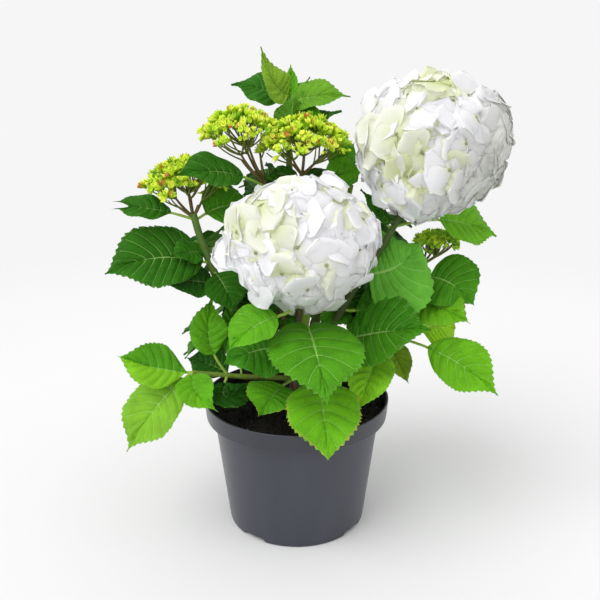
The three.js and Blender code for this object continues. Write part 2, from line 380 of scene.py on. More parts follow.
trunkSpots = cornersOf("trunk")
trunkFoot = trunkSpots[trunkSpots[:, 2] < trunkSpots[:, 2].min() + 1e-4]
trunkHead = trunkSpots[trunkSpots[:, 2] > trunkSpots[:, 2].max() - 1e-4]


def canesInFrame():
    canes = {}
    for node in sorted(frame["nodes"]):
        if not node.startswith("cane_"):
            continue
        spots, areas = facetsOf(node)
        foot = nearestTo(spots, trunkHead.mean(axis=0))
        spine = fittedSpine(foot, farthest(spots, foot), spots, areas, True)
        gaps = np.linalg.norm(cornersOf(node) - spine.at(spine.nearest(cornersOf(node))), axis=1)
        canes[node[5:]] = {"spine": spine, "radius": float(np.percentile(gaps, 90))}
    return canes


canes = canesInFrame()


def padInFrame(node, cane):  # a leaf's middle line, which way its upper face looks, and its width
    corners = cornersOf(node)
    reach = np.linalg.norm(corners - cane.at(cane.nearest(corners)), axis=1)
    start = corners[reach.argmin()]
    tip = farthest(corners, start)
    spots, areas = facetsOf(node)
    spine = fittedSpine(start, tip, spots, areas, False)
    away = corners - spine.at(spine.nearest(corners))
    ahead = spine.ahead(0.5)
    away -= np.outer(away @ ahead, ahead)
    right = np.linalg.svd(away, full_matrices=False)[2][0]
    above = unit(np.cross(right, ahead))
    above = above if above[2] > 0 else -above
    return spine, above, float(np.abs(away @ right).max())


print("canes read from the frame:", len(canes))


# Leaves: a toothed ovate blade, quilted between its side veins, on a stalk that runs on as its rib

leafTints = {
    "deep": (0.012, 0.080, 0.002),
    "dark": (0.023, 0.125, 0.003),
    "shade": (0.040, 0.200, 0.005),
    "mid": (0.050, 0.215, 0.005),
    "fresh": (0.072, 0.280, 0.007),
    "lively": (0.100, 0.350, 0.008),
    "bright": (0.135, 0.420, 0.009),
    "lime": (0.215, 0.540, 0.016),
    "pale": (0.190, 0.430, 0.024),
    "yellow": (0.340, 0.720, 0.010),
    "olive": (0.150, 0.270, 0.012),
    "sage": (0.190, 0.355, 0.024),
    "soft": (0.118, 0.300, 0.014),
    "grey": (0.115, 0.390, 0.034),
    "edge": (0.300, 0.400, 0.040),
}

veinTint = (0.42, 0.70, 0.20)
paleTint = (0.20, 0.36, 0.10)  # of the undersides


def leafSkin(name, tint, gloss):
    def dress(graph):
        mottle = graph.clouds(55, 3, 0.3, 0.72)
        places = {"Vector": graph.place(), "Scale": 420}
        cells = graph.node("ShaderNodeTexVoronoi", {"feature": "DISTANCE_TO_EDGE"}, places)
        net = graph.ramp(cells, (0.0, 0), (0.14, 1))
        color = graph.blend(mottle, paint(tint, 0.82), paint(tint, 1.32))
        return {
            "Base Color": graph.blend(net, paint(tint, 1.55 - 0.9 * tint[1]), color),
            "Roughness": mottle * 0.12 + gloss,
            "Normal": graph.bump(net, 0.7, 0.0006),
        }
    return skin(name, {"Specular IOR Level": 0.13}, dress)


def mixed(first, second, share):
    return tuple(a + (b - a) * share for a, b in zip(first, second))


leafSkins = {}
for tintName, tint in leafTints.items():
    leafSkins[tintName] = leafSkin("leaf_" + tintName, tint, 0.42)
    underTint = mixed(tint, paleTint, 0.35)
    leafSkins[tintName + "Under"] = leafSkin("leaf_" + tintName + "_under", underTint, 0.6)
    ribTint = mixed(tint, veinTint, 0.5)
    leafSkins[tintName + "Vein"] = skin("leaf_" + tintName + "_vein", {
        "Base Color": paint(ribTint), "Roughness": 0.5, "Specular IOR Level": 0.2})

leafForm = {
    "sweep": 1.9,         # how far the side veins run forward before they meet the margin
    "columns": (0, 0.028, 0.13, 0.27, 0.42, 0.57, 0.71, 0.84, 0.94, 0.975, 1),
    "thickness": 0.0006,
    "veinHalf": 0.005,   # half a vein strip, as a share of the blade
    "toothPitch": 0.0042,
    "toothDepth": 0.0013,
    "quilt": 0.0022,
    "groove": 0.0006,
    "grooveHalf": 0.07,  # half the rib's groove, as a share of half a blade
    "leastHalf": 0.0003,
    "stalkRadius": 0.0015,
    "youngStalkRadius": 0.0012,
    "innerStalkRadius": 0.0011,
    "coarser": {"tooth": 1.5, "vein": 1.2, "quilt": 0.7},  # an inner leaf against a large one
}

plainLeaf = {
    "stalk": 0.28,   # the stalk's share of the middle line
    "widest": 0.40,  # where the blade is widest
    "blunt": 0.70,   # lower is blunter at both ends
    "tail": 0.9,     # how drawn-out the tip is
    "heart": 0.0,    # how far the lobes at the base reach back
    "fold": 8,       # degrees that each half is raised
    "wave": 0.0015,
    "teeth": 1.0,
    "veins": 8,
    "fork": 0.0,
    "tint": "mid",
    "half": None,    # tint of the other half, a lighter or darker green as painted light and shade where a folded leaf's halves face the light differently
    "edge": None,    # tint of the margin
    "wider": 1.0,
}


def smooth(value, low, high):
    share = np.clip((value - low) / (high - low), 0, 1)
    return share * share * (3 - 2 * share)


def halfWidth(margin, look):  # of the blade at a share of its length, as a share of its widest half
    power = math.log(0.5) / math.log(look["widest"])
    drawn = look["blunt"] + look["tail"] * smooth(margin, look["widest"] + 0.1, 0.97)
    body = np.sin(math.pi * np.minimum(margin, 1) ** power) ** drawn
    base = look["heart"] * 2.6 * (1 - margin) ** 9
    fork = 0.42 * smooth(margin, 0.7, 1) if look["fork"] else 0
    return np.maximum(body, fork) + base


def bladeRows(length, look, fine):  # vein shares, tooth heights, and which side of a vein, by row
    pitch = leafForm["toothPitch"] * (1 if fine else leafForm["coarser"]["tooth"])
    teeth = max(6, round(length / pitch))
    margins = [(0.0, 0.0)]
    for tooth in range(teeth):
        margins.append(((tooth + 0.02) / teeth, 0.0))
        margins.append(((tooth + 0.68) / teeth, 1.0))
    margins.append((1.0, 0.0))
    spots, heights = np.array(margins[:1] + margins[2:]).T
    shares = 1 - (1 - spots) ** (1 / leafForm["sweep"])
    half = leafForm["veinHalf"] * (1 if fine else leafForm["coarser"]["vein"])
    rows = []
    for vein in veinShares(look):
        for side in (-1, 1):
            rows.append((vein + side * half, float(np.interp(vein, shares, heights)), side))
    veins = np.array([row[0] for row in rows])
    for share, height in zip(shares, heights):
        if share in (0, 1) or np.abs(veins - share).min() > 1.6 * half:
            rows.append((share, height, 0))
    return np.array(sorted(rows)).T


def veinShares(look):
    return (np.arange(look["veins"]) + 0.55) / (look["veins"] + 0.2) * 0.9


def bladeMesh(spine, above, half, look, rng, fine=True):
    columns = np.array(leafForm["columns"] if fine else leafForm["columns"][::2])
    across = np.concatenate([-columns[:0:-1], columns])
    stalk = look["stalk"]
    length = spine.length() * (1 - stalk)
    rows, heights, sides = bladeRows(length, look, fine)
    reach = np.abs(across)[None, :]
    taper = leafForm["veinHalf"] * 0.75 * sides[:, None] * reach
    share = np.clip(rows[:, None] - taper, 0, 1)
    margin = 1 - (1 - share) ** leafForm["sweep"]
    place = share + (margin - share) * reach ** 1.3
    place -= look["heart"] * np.sin(math.pi * reach ** 0.8) * (1 - share) ** 8
    place -= look["fork"] * smooth(share, 0.55, 1) * (1 - reach ** 1.5)
    wide = halfWidth(margin, look) * half
    wide = np.maximum(wide, leafForm["leastHalf"])
    depth = leafForm["toothDepth"] * look["teeth"] * min(1.3, length / 0.075)
    depth *= smooth(margin, 0.03, 0.25) * smooth(1 - margin, 0.0, 0.15)
    jag = depth * heights[:, None] * (reach > 0.999)
    sidle = np.sign(across)[None, :] * (reach * wide + jag)
    place += jag * 0.8 / length
    phase = (share / 0.9 * (look["veins"] + 0.2) - 0.55) * math.pi
    quilt = leafForm["quilt"] * (1 if fine else leafForm["coarser"]["quilt"]) * min(1.2, length / 0.07)
    quilt = quilt * (1 - 0.85 * smooth(share, 0.68, 0.94))
    lift = quilt * np.abs(np.sin(phase)) ** 0.8 * np.sin(math.pi * np.clip(reach, 0, 1)) ** 0.6
    lift = lift - leafForm["groove"] * np.exp(-(reach / leafForm["grooveHalf"]) ** 2)
    fold = math.radians(look["fold"])
    phases = place * rng.uniform(11, 15) + np.sign(across)[None, :] * rng.uniform(0.6, 2.4)
    ripple = look["wave"] * reach ** 2 * np.sin(phases + rng.uniform(0, 6))
    lift = lift + np.abs(sidle) * math.sin(fold) + ripple
    sidle = sidle * math.cos(fold)
    curve = stalk + (1 - stalk) * place
    middle = spine.at(curve)
    ahead = spine.ahead(curve)
    right = unit(np.cross(ahead, above))
    over = np.cross(right, ahead)
    face = middle + right * sidle[..., None] + over * lift[..., None]
    normal = unit(np.cross(np.gradient(face, axis=1), np.gradient(face, axis=0)))
    flip = np.sign((normal * over).sum(axis=2, keepdims=True))
    normal = normal * np.where(flip == 0, 1, flip)
    thick = leafForm["thickness"] * (1 - reach ** 4)[..., None] * np.ones(face.shape)
    thick[0] = thick[-1] = 0
    return face + normal * thick / 2, face - normal * thick / 2, sides, across


def sheet(top, under):  # a thin shell, sewn along its border: its corners, upper and lower faces
    closed = np.zeros(top.shape[:2], bool)
    closed[[0, -1]] = True
    closed[:, [0, -1]] = True
    upper = np.arange(closed.size).reshape(closed.shape)
    lower = upper.copy()
    lower[~closed] = closed.size + np.arange((~closed).sum())
    points = np.concatenate([top.reshape(-1, 3), under[~closed]])
    faces = [np.stack([side[:-1, :-1], side[:-1, 1:], side[1:, 1:], side[1:, :-1]], axis=2)
             for side in (upper, lower)]
    return points, faces[0], faces[1][..., ::-1]


def addBlade(batch, spine, above, half, look, rng, fine=True):
    top, under, sides, across = bladeMesh(spine, above, half, look, rng, fine)
    points, upper, lower = sheet(top, under)
    faces, kinds = [], []
    middles = (across[:-1] + across[1:]) / 2
    for row in range(len(sides) - 1):
        onVein = sides[row] < 0 < sides[row + 1]
        for column, middle in enumerate(middles):
            # one half may take another tint: painted light and shade on the two halves of a folded leaf
            own = (look["half"] or look["tint"]) if middle > 0 else look["tint"]
            kind = own
            if abs(middle) < leafForm["columns"][1] or onVein and abs(middle) < 0.93:
                kind = own + "Vein"
            elif look["edge"] and abs(middle) > 0.97:
                kind = look["edge"]
            faces.extend([upper[row, column].tolist(), lower[row, column].tolist()])
            kinds.extend([leafSkins[kind], leafSkins[own + "Under"]])
    batch.add(points, faces, kinds)


stalkSkin = skin("leaf_stalk", {
    "Base Color": paint((0.30, 0.48, 0.06)), "Roughness": 0.5, "Specular IOR Level": 0.35})


def addStalk(batch, spine, above, root, look, radius):
    ribEnd = look["stalk"] + 0.8 * (1 - look["stalk"]) * (0.4 if look["fork"] else 1)
    shares = np.linspace(0.02, ribEnd, 15)
    line = spine.at(shares)
    onBlade = smooth(shares, look["stalk"] - 0.02, look["stalk"] + 0.05)
    radii = radius * (1 - 0.75 * smooth(shares, look["stalk"] * 0.5, ribEnd))
    right = unit(np.cross(spine.ahead(shares), above))
    over = np.cross(right, spine.ahead(shares))
    line = line - over * ((radii * 0.9 + leafForm["groove"]) * onBlade)[:, None]
    line = np.concatenate([[root], line])
    batch.add(*tube(line, np.concatenate([radii[:1] * 1.3, radii]), 6), stalkSkin)



# Each large leaf by the cane that it grows from
leafLooks = {
    "top_shoot": {
        "top_upright": {"tint": "sage", "stalk": 0.02, "fold": 20, "widest": 0.3},
        "top_right": {"tint": "soft", "stalk": 0.02, "fold": 12, "widest": 0.32, "wider": 1.05},
        "top_left": {"tint": "dark", "stalk": 0.02, "widest": 0.34, "teeth": 0.5, "wider": 1.1},
    },
    "corymb_middle": {
        "pair_upper": {"tint": "fresh", "stalk": 0.5, "fold": 14, "teeth": 0.5},
        "pair_lower": {"tint": "mid", "stalk": 0.5, "fold": 14, "teeth": 0.5},
    },
    "corymb_left": {
        "over_corymb": {"tint": "dark", "widest": 0.45, "teeth": 0.3},
    },
    "corymb_far_left": {
        "left_forked": {"tint": "dark", "widest": 0.45, "fork": 0.3, "teeth": 0.4},
        "left_inner": {"tint": "mid", "stalk": 0.15, "fold": 12},
        "left_large": {"tint": "dark", "stalk": 0.04, "widest": 0.46, "blunt": 0.55, "veins": 10},
        "left_under": {"tint": "deep", "stalk": 0.1, "blunt": 0.6, "teeth": 0.5},
        "left_hanging": {"tint": "dark", "stalk": 0.05, "wider": 1.25},
    },
    "front_bloom": {
        "front_left_upper": {"tint": "lively", "teeth": 0.5, "fold": 10, "stalk": 0.12, "widest": 0.36,
                             "tail": 1.3},
        "front_left_lower": {"tint": "shade", "blunt": 0.6, "veins": 9, "wider": 1.15},
        "front_heart": {"tint": "fresh", "stalk": 0.1, "heart": 0.14, "blunt": 0.6, "tail": 1.2,
                        "teeth": 1.5, "veins": 7, "fold": 4},
        "front_low": {"tint": "fresh", "half": "lively", "edge": "olive", "stalk": 0.4, "blunt": 0.6,
                      "wider": 1.2},
    },
    "low_left": {
        "over_soil": {"tint": "deep", "stalk": 0.1, "teeth": 0.4, "wider": 1.4},
        "low_left_rising": {"tint": "lively", "fold": 14, "blunt": 0.8, "tail": 1.3},
        "low_left_upper": {"tint": "lime", "half": "fresh", "stalk": 0.08, "fold": 14, "widest": 0.47,
                           "blunt": 0.9, "tail": 0.7},
        "low_left_lower": {"tint": "pale", "stalk": 0.10, "widest": 0.48, "blunt": 0.75},
        "low_left_folded": {"tint": "lively", "half": "bright", "stalk": 0.08, "fold": 26, "blunt": 0.8,
                            "tail": 1.2},
    },
    "right_bloom": {
        "right_large": {"tint": "grey", "stalk": 0.08, "teeth": 1.4, "blunt": 0.55, "veins": 9, "fold": 4,
                        "wider": 1.25},
        "right_middle": {"tint": "dark", "stalk": 0.2, "veins": 9},
        "right_broad": {"tint": "shade", "half": "mid", "veins": 10, "blunt": 0.6, "wider": 1.25},
        "under_bloom": {"tint": "bright", "stalk": 0.4, "wider": 1.1},
    },
    "corymb_right": {
        "right_outer_upper": {"tint": "mid", "blunt": 0.55, "wider": 1.1},
        "right_outer_lower": {"tint": "bright", "edge": "olive", "wider": 1.1},
    },
    "low_right": {
        "front_rim": {"tint": "bright", "edge": "edge", "teeth": 1.2, "widest": 0.47, "blunt": 0.55,
                      "tail": 0.6, "veins": 7},
        "low_right_front": {"tint": "lime", "teeth": 0.7, "blunt": 0.5, "tail": 0.3},
        "low_right_round": {"tint": "yellow", "blunt": 0.45, "tail": 0.2, "teeth": 0.3, "wider": 1.45},
        "low_right_bright": {"tint": "bright", "fold": 10, "widest": 0.46, "blunt": 0.8},
    },
}

# Small leaves between the large ones, placed as the large ones are: where on the cane, which way in
# plan, how far out and up the tip is, and how far the right edge is lowered (millimetres, degrees)
youngLeaves = {
    "top_shoot": {
        "second": {"at": 0.95, "turn": 80, "reach": 16, "rise": 44, "width": 17, "tint": "lively"},
        "third": {"at": 0.95, "turn": 25, "reach": 24, "rise": 32, "width": 18, "roll": 20, "tint": "fresh"},
        "broad": {"at": 0.93, "turn": -48, "reach": 48, "rise": -12, "width": 36, "roll": 40,
                  "tint": "fresh"},
        "base": {"at": 0.84, "turn": -75, "reach": 20, "rise": 46, "width": 34, "tint": "lively"},
        "lobe": {"at": 0.85, "turn": -18, "reach": 54, "rise": 28, "width": 22, "roll": 45, "tint": "dark"},
    },
    "corymb_middle": {
        "behind": {"at": 0.95, "turn": 180, "reach": 38, "rise": 2, "width": 26, "roll": -55, "tint": "dark"},
        "beside": {"at": 0.9, "turn": 8, "reach": 62, "rise": 22, "width": 34, "roll": 55, "tint": "lively",
                   "stalk": 0.4},
    },
    "corymb_far_left": {
        "heart": {"at": 0.8, "turn": 222, "reach": 40, "rise": 2, "width": 30, "roll": -40, "tint": "dark"},
    },
    "low_left": {
        "behind": {"at": 0.5, "turn": 112, "reach": 40, "rise": 72, "width": 30, "tint": "mid"},
        "under": {"at": 0.6, "turn": 150, "reach": 58, "rise": 8, "width": 34, "roll": -40, "tint": "deep"},
    },
    "right_bloom": {
        "between": {"at": 0.8, "turn": 158, "reach": 32, "rise": 38, "width": 18, "roll": -30,
                    "tint": "dark"},
    },
    "low_right": {
        "brown": {"at": 0.75, "turn": -60, "reach": 40, "rise": -32, "width": 30, "roll": 20,
                  "tint": "olive"},
    },
}


def placedLeaf(start, leaf):  # a middle line and which way the upper face looks
    turn, aside = (math.radians(leaf["turn"] - step) for step in (0, 90))
    reach, rise = leaf["reach"] / 1000, leaf["rise"] / 1000
    tip = start + np.array([math.cos(turn) * reach, math.sin(turn) * reach, rise])
    middle = (start + tip) / 2 + (0, 0, 0.10 * np.linalg.norm(tip - start))
    spine = Spine(start, middle, tip)
    along = spine.ahead(0.5)
    level = heading(aside)
    roll = math.radians(leaf.get("roll", 0))
    right = level * math.cos(roll) + np.cross(along, level) * math.sin(roll)
    return spine, unit(np.cross(right, along))


def growLeaves():
    blades, stalks, nodes = Batch(), Batch(), []
    rng = random.Random(4)
    for cane, group in leafLooks.items():
        for name, own in group.items():
            look = {**plainLeaf, **own}
            node = "leaf_" + name
            spine, above, half = padInFrame(node, canes[cane]["spine"])
            root = canes[cane]["spine"].at(canes[cane]["spine"].nearest(spine.ends[:1]))[0]
            addBlade(blades, spine, above, half * look["wider"], look, rng)
            addStalk(stalks, spine, above, root, look, leafForm["stalkRadius"])
            nodes.append(node)
    for cane, group in youngLeaves.items():
        for name, own in group.items():
            look = {**plainLeaf, "stalk": 0.1, "teeth": 0.6, **own}
            root = canes[cane]["spine"].at(own["at"])
            spine, above = placedLeaf(root, own)
            addBlade(blades, spine, above, own["width"] / 2000, look, rng)
            addStalk(stalks, spine, above, root, look, leafForm["youngStalkRadius"])
    blades.piece("large_leaves", "leaf", nodes)
    stalks.piece("large_leaf_stalks", "leaf")


growLeaves()
print("large leaves grown")


# Pot: thin tapered plastic with a wider band, arches in its foot ring and drain holes in its floor

potForm = {
    "height": 0.135,
    "rim": 0.095,
    "band": 0.019,
    "bandFoot": 0.0933,
    "shoulder": 0.0855,
    "foot": 0.0715,
    "wall": 0.0018,
    "floor": 0.005,
    "pad": 0.018,
    "ring": 0.006,
    "archWidth": 0.030,
    "archHeight": 0.0046,
    "archTurn": -127,  # degrees, of the first one
    "arches": 4,
    "holes": 6,
    "holeRadius": 0.004,
    "holeRing": 0.042,
    "sides": 180,
}


def eased(corners):  # an outline whose corners are rounded, each by its own amount
    outline = []
    for index, (radius, height, bevel) in enumerate(corners):
        spot = np.array((radius, height))
        if not bevel:
            outline.append(spot)
            continue
        before, after = (unit(np.array(corners[index + step][:2]) - spot) for step in (-1, 1))
        curve = Spine(spot + before * bevel, spot, spot + after * bevel)
        outline += [spot + before * bevel * 1.6, *curve.at(np.linspace(0, 1, 5)), spot + after * bevel * 1.6]
    return outline


def lathe(outline, sides):
    turns = turnsOf(sides)
    around = np.stack([np.cos(turns), np.sin(turns), 0 * turns], axis=1)
    points, rings, faces = [], [], []
    for radius, height in outline:
        if radius < 1e-6:
            rings.append([len(points)] * sides)
            points.append((0, 0, height))
        else:
            rings.append(list(range(len(points), len(points) + sides)))
            points.extend(around * radius + (0, 0, height))
    for lower, upper in zip(rings, rings[1:]):
        for turn in range(sides):
            after = (turn + 1) % sides
            corners = [lower[turn], lower[after], upper[after], upper[turn]]
            faces.append(list(dict.fromkeys(corners)))
    return np.array(points), faces


def potOutline():
    height, wall, foot, floor = (potForm[key] for key in ("height", "wall", "foot", "floor"))
    shoulder = height - potForm["band"]
    ringInner = foot - potForm["ring"]
    return eased([
        (0, 0, 0),
        (potForm["pad"], 0, 0.0008),
        (potForm["pad"], floor, 0.0008),
        (ringInner - 0.002, floor, 0.0008),
        (ringInner, 0, 0.0006),
        (foot, 0, 0.0016),
        (potForm["shoulder"], shoulder, 0.0012),
        (potForm["bandFoot"], shoulder, 0.0012),
        (potForm["rim"], height, 0.0009),
        (potForm["rim"] - wall, height, 0.0005),
        (potForm["bandFoot"] - wall, shoulder + wall, 0.0015),
        (potForm["shoulder"] - wall, shoulder + wall, 0.0015),
        (foot - wall - 0.001, floor + wall, 0.003),
        (0, floor + wall, 0),
    ])


potTints = {
    "wall": ((0.030, 0.033, 0.048), (0.039, 0.042, 0.060)),
    "band": (0.012, 0.013, 0.020),
}


def plasticSkin():
    def dress(graph):
        flow = graph.clouds(38, 3, 0.35, 0.7, graph.stretched(0.12))
        grain = graph.noise(900, 2)
        band = graph.ramp(graph.height() * (1 / potForm["height"]), (0.862, 0), (0.866, 1))
        wall = graph.blend(flow, *(paint(tint) for tint in potTints["wall"]))
        return {
            "Base Color": graph.blend(band * 0.5, wall, paint(potTints["band"])),
            "Roughness": flow * 0.08 + 0.30,
            "Normal": graph.bump(grain, 0.08, 0.0002),
        }
    return skin("pot_plastic", {"Specular IOR Level": 0.6}, dress)


def evaluated(made):  # the mesh that an object's modifiers make, without the object
    depsgraph = bpy.context.evaluated_depsgraph_get()
    mesh = bpy.data.meshes.new_from_object(made.evaluated_get(depsgraph), depsgraph=depsgraph)
    bpy.data.objects.remove(made)
    return mesh


def meshOf(name, points, faces, kind=None):
    mesh = bpy.data.meshes.new(name)
    mesh.from_pydata(np.asarray(points).tolist(), [], faces)
    mesh.polygons.foreach_set("use_smooth", [True] * len(faces))
    if kind:
        mesh.materials.append(kind)
    return mesh


def objectOf(name, points, faces, kind=None):
    made = bpy.data.objects.new(name, meshOf(name, points, faces, kind))
    bpy.context.scene.collection.objects.link(made)
    return made


def addPot():
    points, faces = lathe(potOutline(), potForm["sides"])
    shell = objectOf("pot_shell", points, faces, plasticSkin())
    tools = Batch()
    for hole in range(potForm["holes"]):
        turn = hole * 2 * math.pi / potForm["holes"]
        spot = heading(turn) * potForm["holeRing"]
        radius = potForm["holeRadius"]
        drill, sides = lathe([(0, -0.01), (radius, -0.01), (radius, 0.012), (0, 0.012)], 28)
        tools.add(drill + spot, sides, None)
    for arch in range(potForm["arches"]):
        turn = math.radians(potForm["archTurn"] + 360 / potForm["arches"] * arch)
        ahead, aside = heading(turn), np.array([-math.sin(turn), math.cos(turn), 0])
        half, height = potForm["archWidth"] / 2, potForm["archHeight"]
        right = [(half + 0.003, -0.01), (half, 0), (half - 0.0035, height - 0.0006), (half - 0.0055, height)]
        outline = [(-right[0][0], -0.01)] + right + [(-off, rise) for off, rise in right[:0:-1]]
        rings = [[ahead * reach + aside * off + (0, 0, rise) for off, rise in outline]
                 for reach in (potForm["foot"] - potForm["ring"] - 0.006, potForm["foot"] + 0.012)]
        count = len(outline)
        pairs = [(step, (step + 1) % count) for step in range(count)]
        sides = [(step, after, count + after, count + step) for step, after in pairs]
        ends = [tuple(range(count))[::-1], tuple(range(count, 2 * count))]
        tools.add(np.array(rings).reshape(-1, 3), sides + ends, None)
    drills = objectOf("pot_drills", np.concatenate(tools.points), tools.faces)
    cut = shell.modifiers.new("holes", "BOOLEAN")
    cut.operation = "DIFFERENCE"
    cut.object = drills
    mesh = evaluated(shell)
    bpy.data.objects.remove(drills)
    settle("nursery_pot", mesh, ["pot"])


addPot()
print("pot made")


# Growing small shapes over points by a node tree

def spreadTree():
    tree = bpy.data.node_groups.new("spread", "GeometryNodeTree")
    tree.is_modifier = True
    inputs = (("Points", "NodeSocketGeometry"), ("Shapes", "NodeSocketCollection"),
              ("Last Shape", "NodeSocketInt"), ("Skin", "NodeSocketMaterial"), ("Seed", "NodeSocketInt"))
    for label, kind in inputs:
        tree.interface.new_socket(label, in_out="INPUT", socket_type=kind)
    tree.interface.new_socket("Grown", in_out="OUTPUT", socket_type="NodeSocketGeometry")
    graph = Graph(tree)

    def given(label):
        return graph.node("NodeGroupInput", output=label)

    def attribute(label, kind):
        return graph.node("GeometryNodeInputNamedAttribute", {"data_type": kind}, {"Name": label})

    shapes = graph.node("GeometryNodeCollectionInfo", None,
                        {"Collection": given("Shapes"), "Separate Children": True, "Reset Children": True})
    pick = graph.node("FunctionNodeRandomValue", {"data_type": "INT"},
                      {4: 0, 5: given("Last Shape"), 8: given("Seed")}, 2)
    turn = graph.node("FunctionNodeRandomValue", {"data_type": "FLOAT"},
                      {2: 0.0, 3: 2 * math.pi, 8: given("Seed")}, 1)
    facing = graph.node("FunctionNodeAlignRotationToVector", {"axis": "Z"},
                        {"Vector": attribute("facing", "FLOAT_VECTOR")})
    spin = graph.node("FunctionNodeAxisAngleToRotation", None, {"Axis": (0, 0, 1), "Angle": turn})
    turned = graph.node("FunctionNodeRotateRotation", {"rotation_space": "LOCAL"},
                        {"Rotation": facing, "Rotate By": spin})
    laid = graph.node("GeometryNodeInstanceOnPoints", None, {
        "Points": given("Points"), "Instance": shapes, "Pick Instance": True, "Instance Index": pick,
        "Rotation": turned, "Scale": attribute("size", "FLOAT")})
    real = graph.node("GeometryNodeRealizeInstances", None, {"Geometry": laid})
    painted = graph.node("GeometryNodeSetMaterial", None, {"Geometry": real, "Material": given("Skin")})
    graph.node("NodeGroupOutput", None, {0: painted})
    return tree


spread = spreadTree()


def newSeeds():  # where small shapes grow: spots, facings and sizes
    return [], [], []


def sow(seeds, *values):
    for held, value in zip(seeds, values):
        held.append(value)


def grown(seeds, shapes, kind, seed):  # a mesh of one shape or another at each spot
    spots, facings, sizes = seeds
    mesh = bpy.data.meshes.new("seeds")
    mesh.from_pydata([tuple(spot) for spot in spots], [], [])
    mesh.attributes.new("facing", "FLOAT_VECTOR", "POINT").data.foreach_set("vector", np.ravel(facings))
    mesh.attributes.new("size", "FLOAT", "POINT").data.foreach_set("value", np.ravel(sizes))
    carrier = bpy.data.objects.new("seeds", mesh)
    bpy.context.scene.collection.objects.link(carrier)
    modifier = carrier.modifiers.new("spread", "NODES")
    modifier.node_group = spread
    values = {"Shapes": shapes, "Last Shape": len(shapes.objects) - 1, "Skin": kind, "Seed": seed}
    for socket in spread.interface.items_tree:
        if socket.name in values:
            modifier[socket.identifier] = values[socket.name]
    return evaluated(carrier)


def shapeBox(name, meshes):  # a collection of shapes to grow
    box = bpy.data.collections.new(name)
    for index, mesh in enumerate(meshes):
        box.objects.link(bpy.data.objects.new(f"{name}_{index}", mesh))
    return box


# Soil: dark peat to just under the rim, with loose crumbs and a few pale specks

soilForm = {
    "top": 0.125,
    "gap": 0.0004,
    "sideGap": 0.0012,
    "corner": 0.0045,  # the lower edge is cut off, to clear the pot's rounded one
    "rings": 30,
    "sides": 132,
    "peatTint": (0.012, 0.009, 0.007),
    "speckTint": (0.42, 0.40, 0.34),
}

soilGrains = {
    "soil_crumbs": {"count": 1100, "size": (0.0006, 0.0021), "lift": 0},
    "soil_specks": {"count": 46, "size": (0.0003, 0.0007), "lift": 0.0006},
}


def soilLift(spot):
    place = Vector(spot)
    lift = 0.0016 * noise.noise(place * 62) + 0.0012 * noise.noise(place * 170 + Vector((3, 1, 7)))
    return lift + 0.0006 * noise.noise(place * 420)


def soilSkin(name, tint):
    def dress(graph):
        lumps = graph.noise(320, 4)
        light = graph.ramp(lumps, (0.35, 0), (0.75, 1))
        return {
            "Base Color": graph.blend(light, paint(tint, 0.25), paint(tint, 1.0)),
            "Roughness": light * 0.1 + 0.85,
            "Normal": graph.bump(lumps, 0.7, 0.0008),
        }
    return skin(name, {"Specular IOR Level": 0.2}, dress)


def addSoil():
    wall, gap, foot = potForm["wall"], soilForm["gap"], potForm["foot"]
    shoulder = potForm["height"] - potForm["band"] + wall
    edge = potForm["rim"] - wall - 0.0016
    bottom = potForm["floor"] + wall
    corner, side = soilForm["corner"], soilForm["sideGap"]
    outline = [
        (0, bottom + gap),
        (foot - wall - corner, bottom + gap),
        (foot - wall - side, bottom + corner),
        (potForm["shoulder"] - wall - side, shoulder),
        (edge - 0.0008, shoulder + 0.0012),
    ]
    outline += [(edge * share, soilForm["top"]) for share in np.linspace(1, 0, soilForm["rings"])]
    points, faces = lathe(outline, soilForm["sides"])
    for index, spot in enumerate(points):
        if spot[2] > soilForm["top"] - 1e-6:
            points[index, 2] += soilLift(spot)
    peat = soilSkin("potting_soil", soilForm["peatTint"])
    settle("soil_bed", meshOf("soil", points, faces, peat), ["soil"])
    rng = random.Random(11)
    crumbShapes = []
    for index in range(3):
        made = bmesh.new()
        bmesh.ops.create_icosphere(made, subdivisions=1, radius=1)
        for vertex in made.verts:
            vertex.co *= 1 + 0.45 * noise.noise(vertex.co * 1.7 + Vector((index * 5, 0, 0)))
        mesh = bpy.data.meshes.new("crumb")
        made.to_mesh(mesh)
        made.free()
        crumbShapes.append(mesh)
    box = shapeBox("crumb", crumbShapes)
    speck = soilSkin("potting_speck", soilForm["speckTint"])
    for (name, grain), kind in zip(soilGrains.items(), (peat, speck)):
        low, high = grain["size"]
        seeds = newSeeds()
        for _ in range(grain["count"]):
            reach, turn = edge * 0.97 * math.sqrt(rng.random()), rng.uniform(0, 2 * math.pi)
            spot = np.array([reach * math.cos(turn), reach * math.sin(turn), soilForm["top"]])
            size = low + (high - low) * rng.random() ** 2
            spot[2] += soilLift(spot) + 0.2 * size + grain["lift"]
            sow(seeds, spot, scatter(rng), size)
        settle(name, grown(seeds, box, kind, 3))


addSoil()
print("soil laid")


# Trunk and canes: a ridged stump, and round green limbs with a joint at each pair of leaves

limbForm = {
    "trunkFlare": 0.7,
    "trunkRadius": 0.008,
    "trunkTaper": 0.15,
    "taper": 0.35,
    "jointGap": 0.052,
    "jointSwell": 0.28,
    "jointReach": 0.003,
    "ringStep": 0.006,      # how far apart the rings of corners are
    "sway": 0.006,
    "ageing": (0.14, 0.34),  # heights between which a limb's tint at the foot passes into that at the tip
}

caneTints = {  # at the foot and at the tip
    "green": ((0.095, 0.115, 0.025), (0.120, 0.235, 0.016)),
    "dusky": ((0.085, 0.090, 0.026), (0.095, 0.075, 0.026)),
    "pale": ((0.080, 0.150, 0.025), (0.100, 0.200, 0.025)),
    "dark": ((0.045, 0.060, 0.014), (0.050, 0.105, 0.012)),
    "light": ((0.180, 0.280, 0.036), (0.240, 0.360, 0.040)),
}

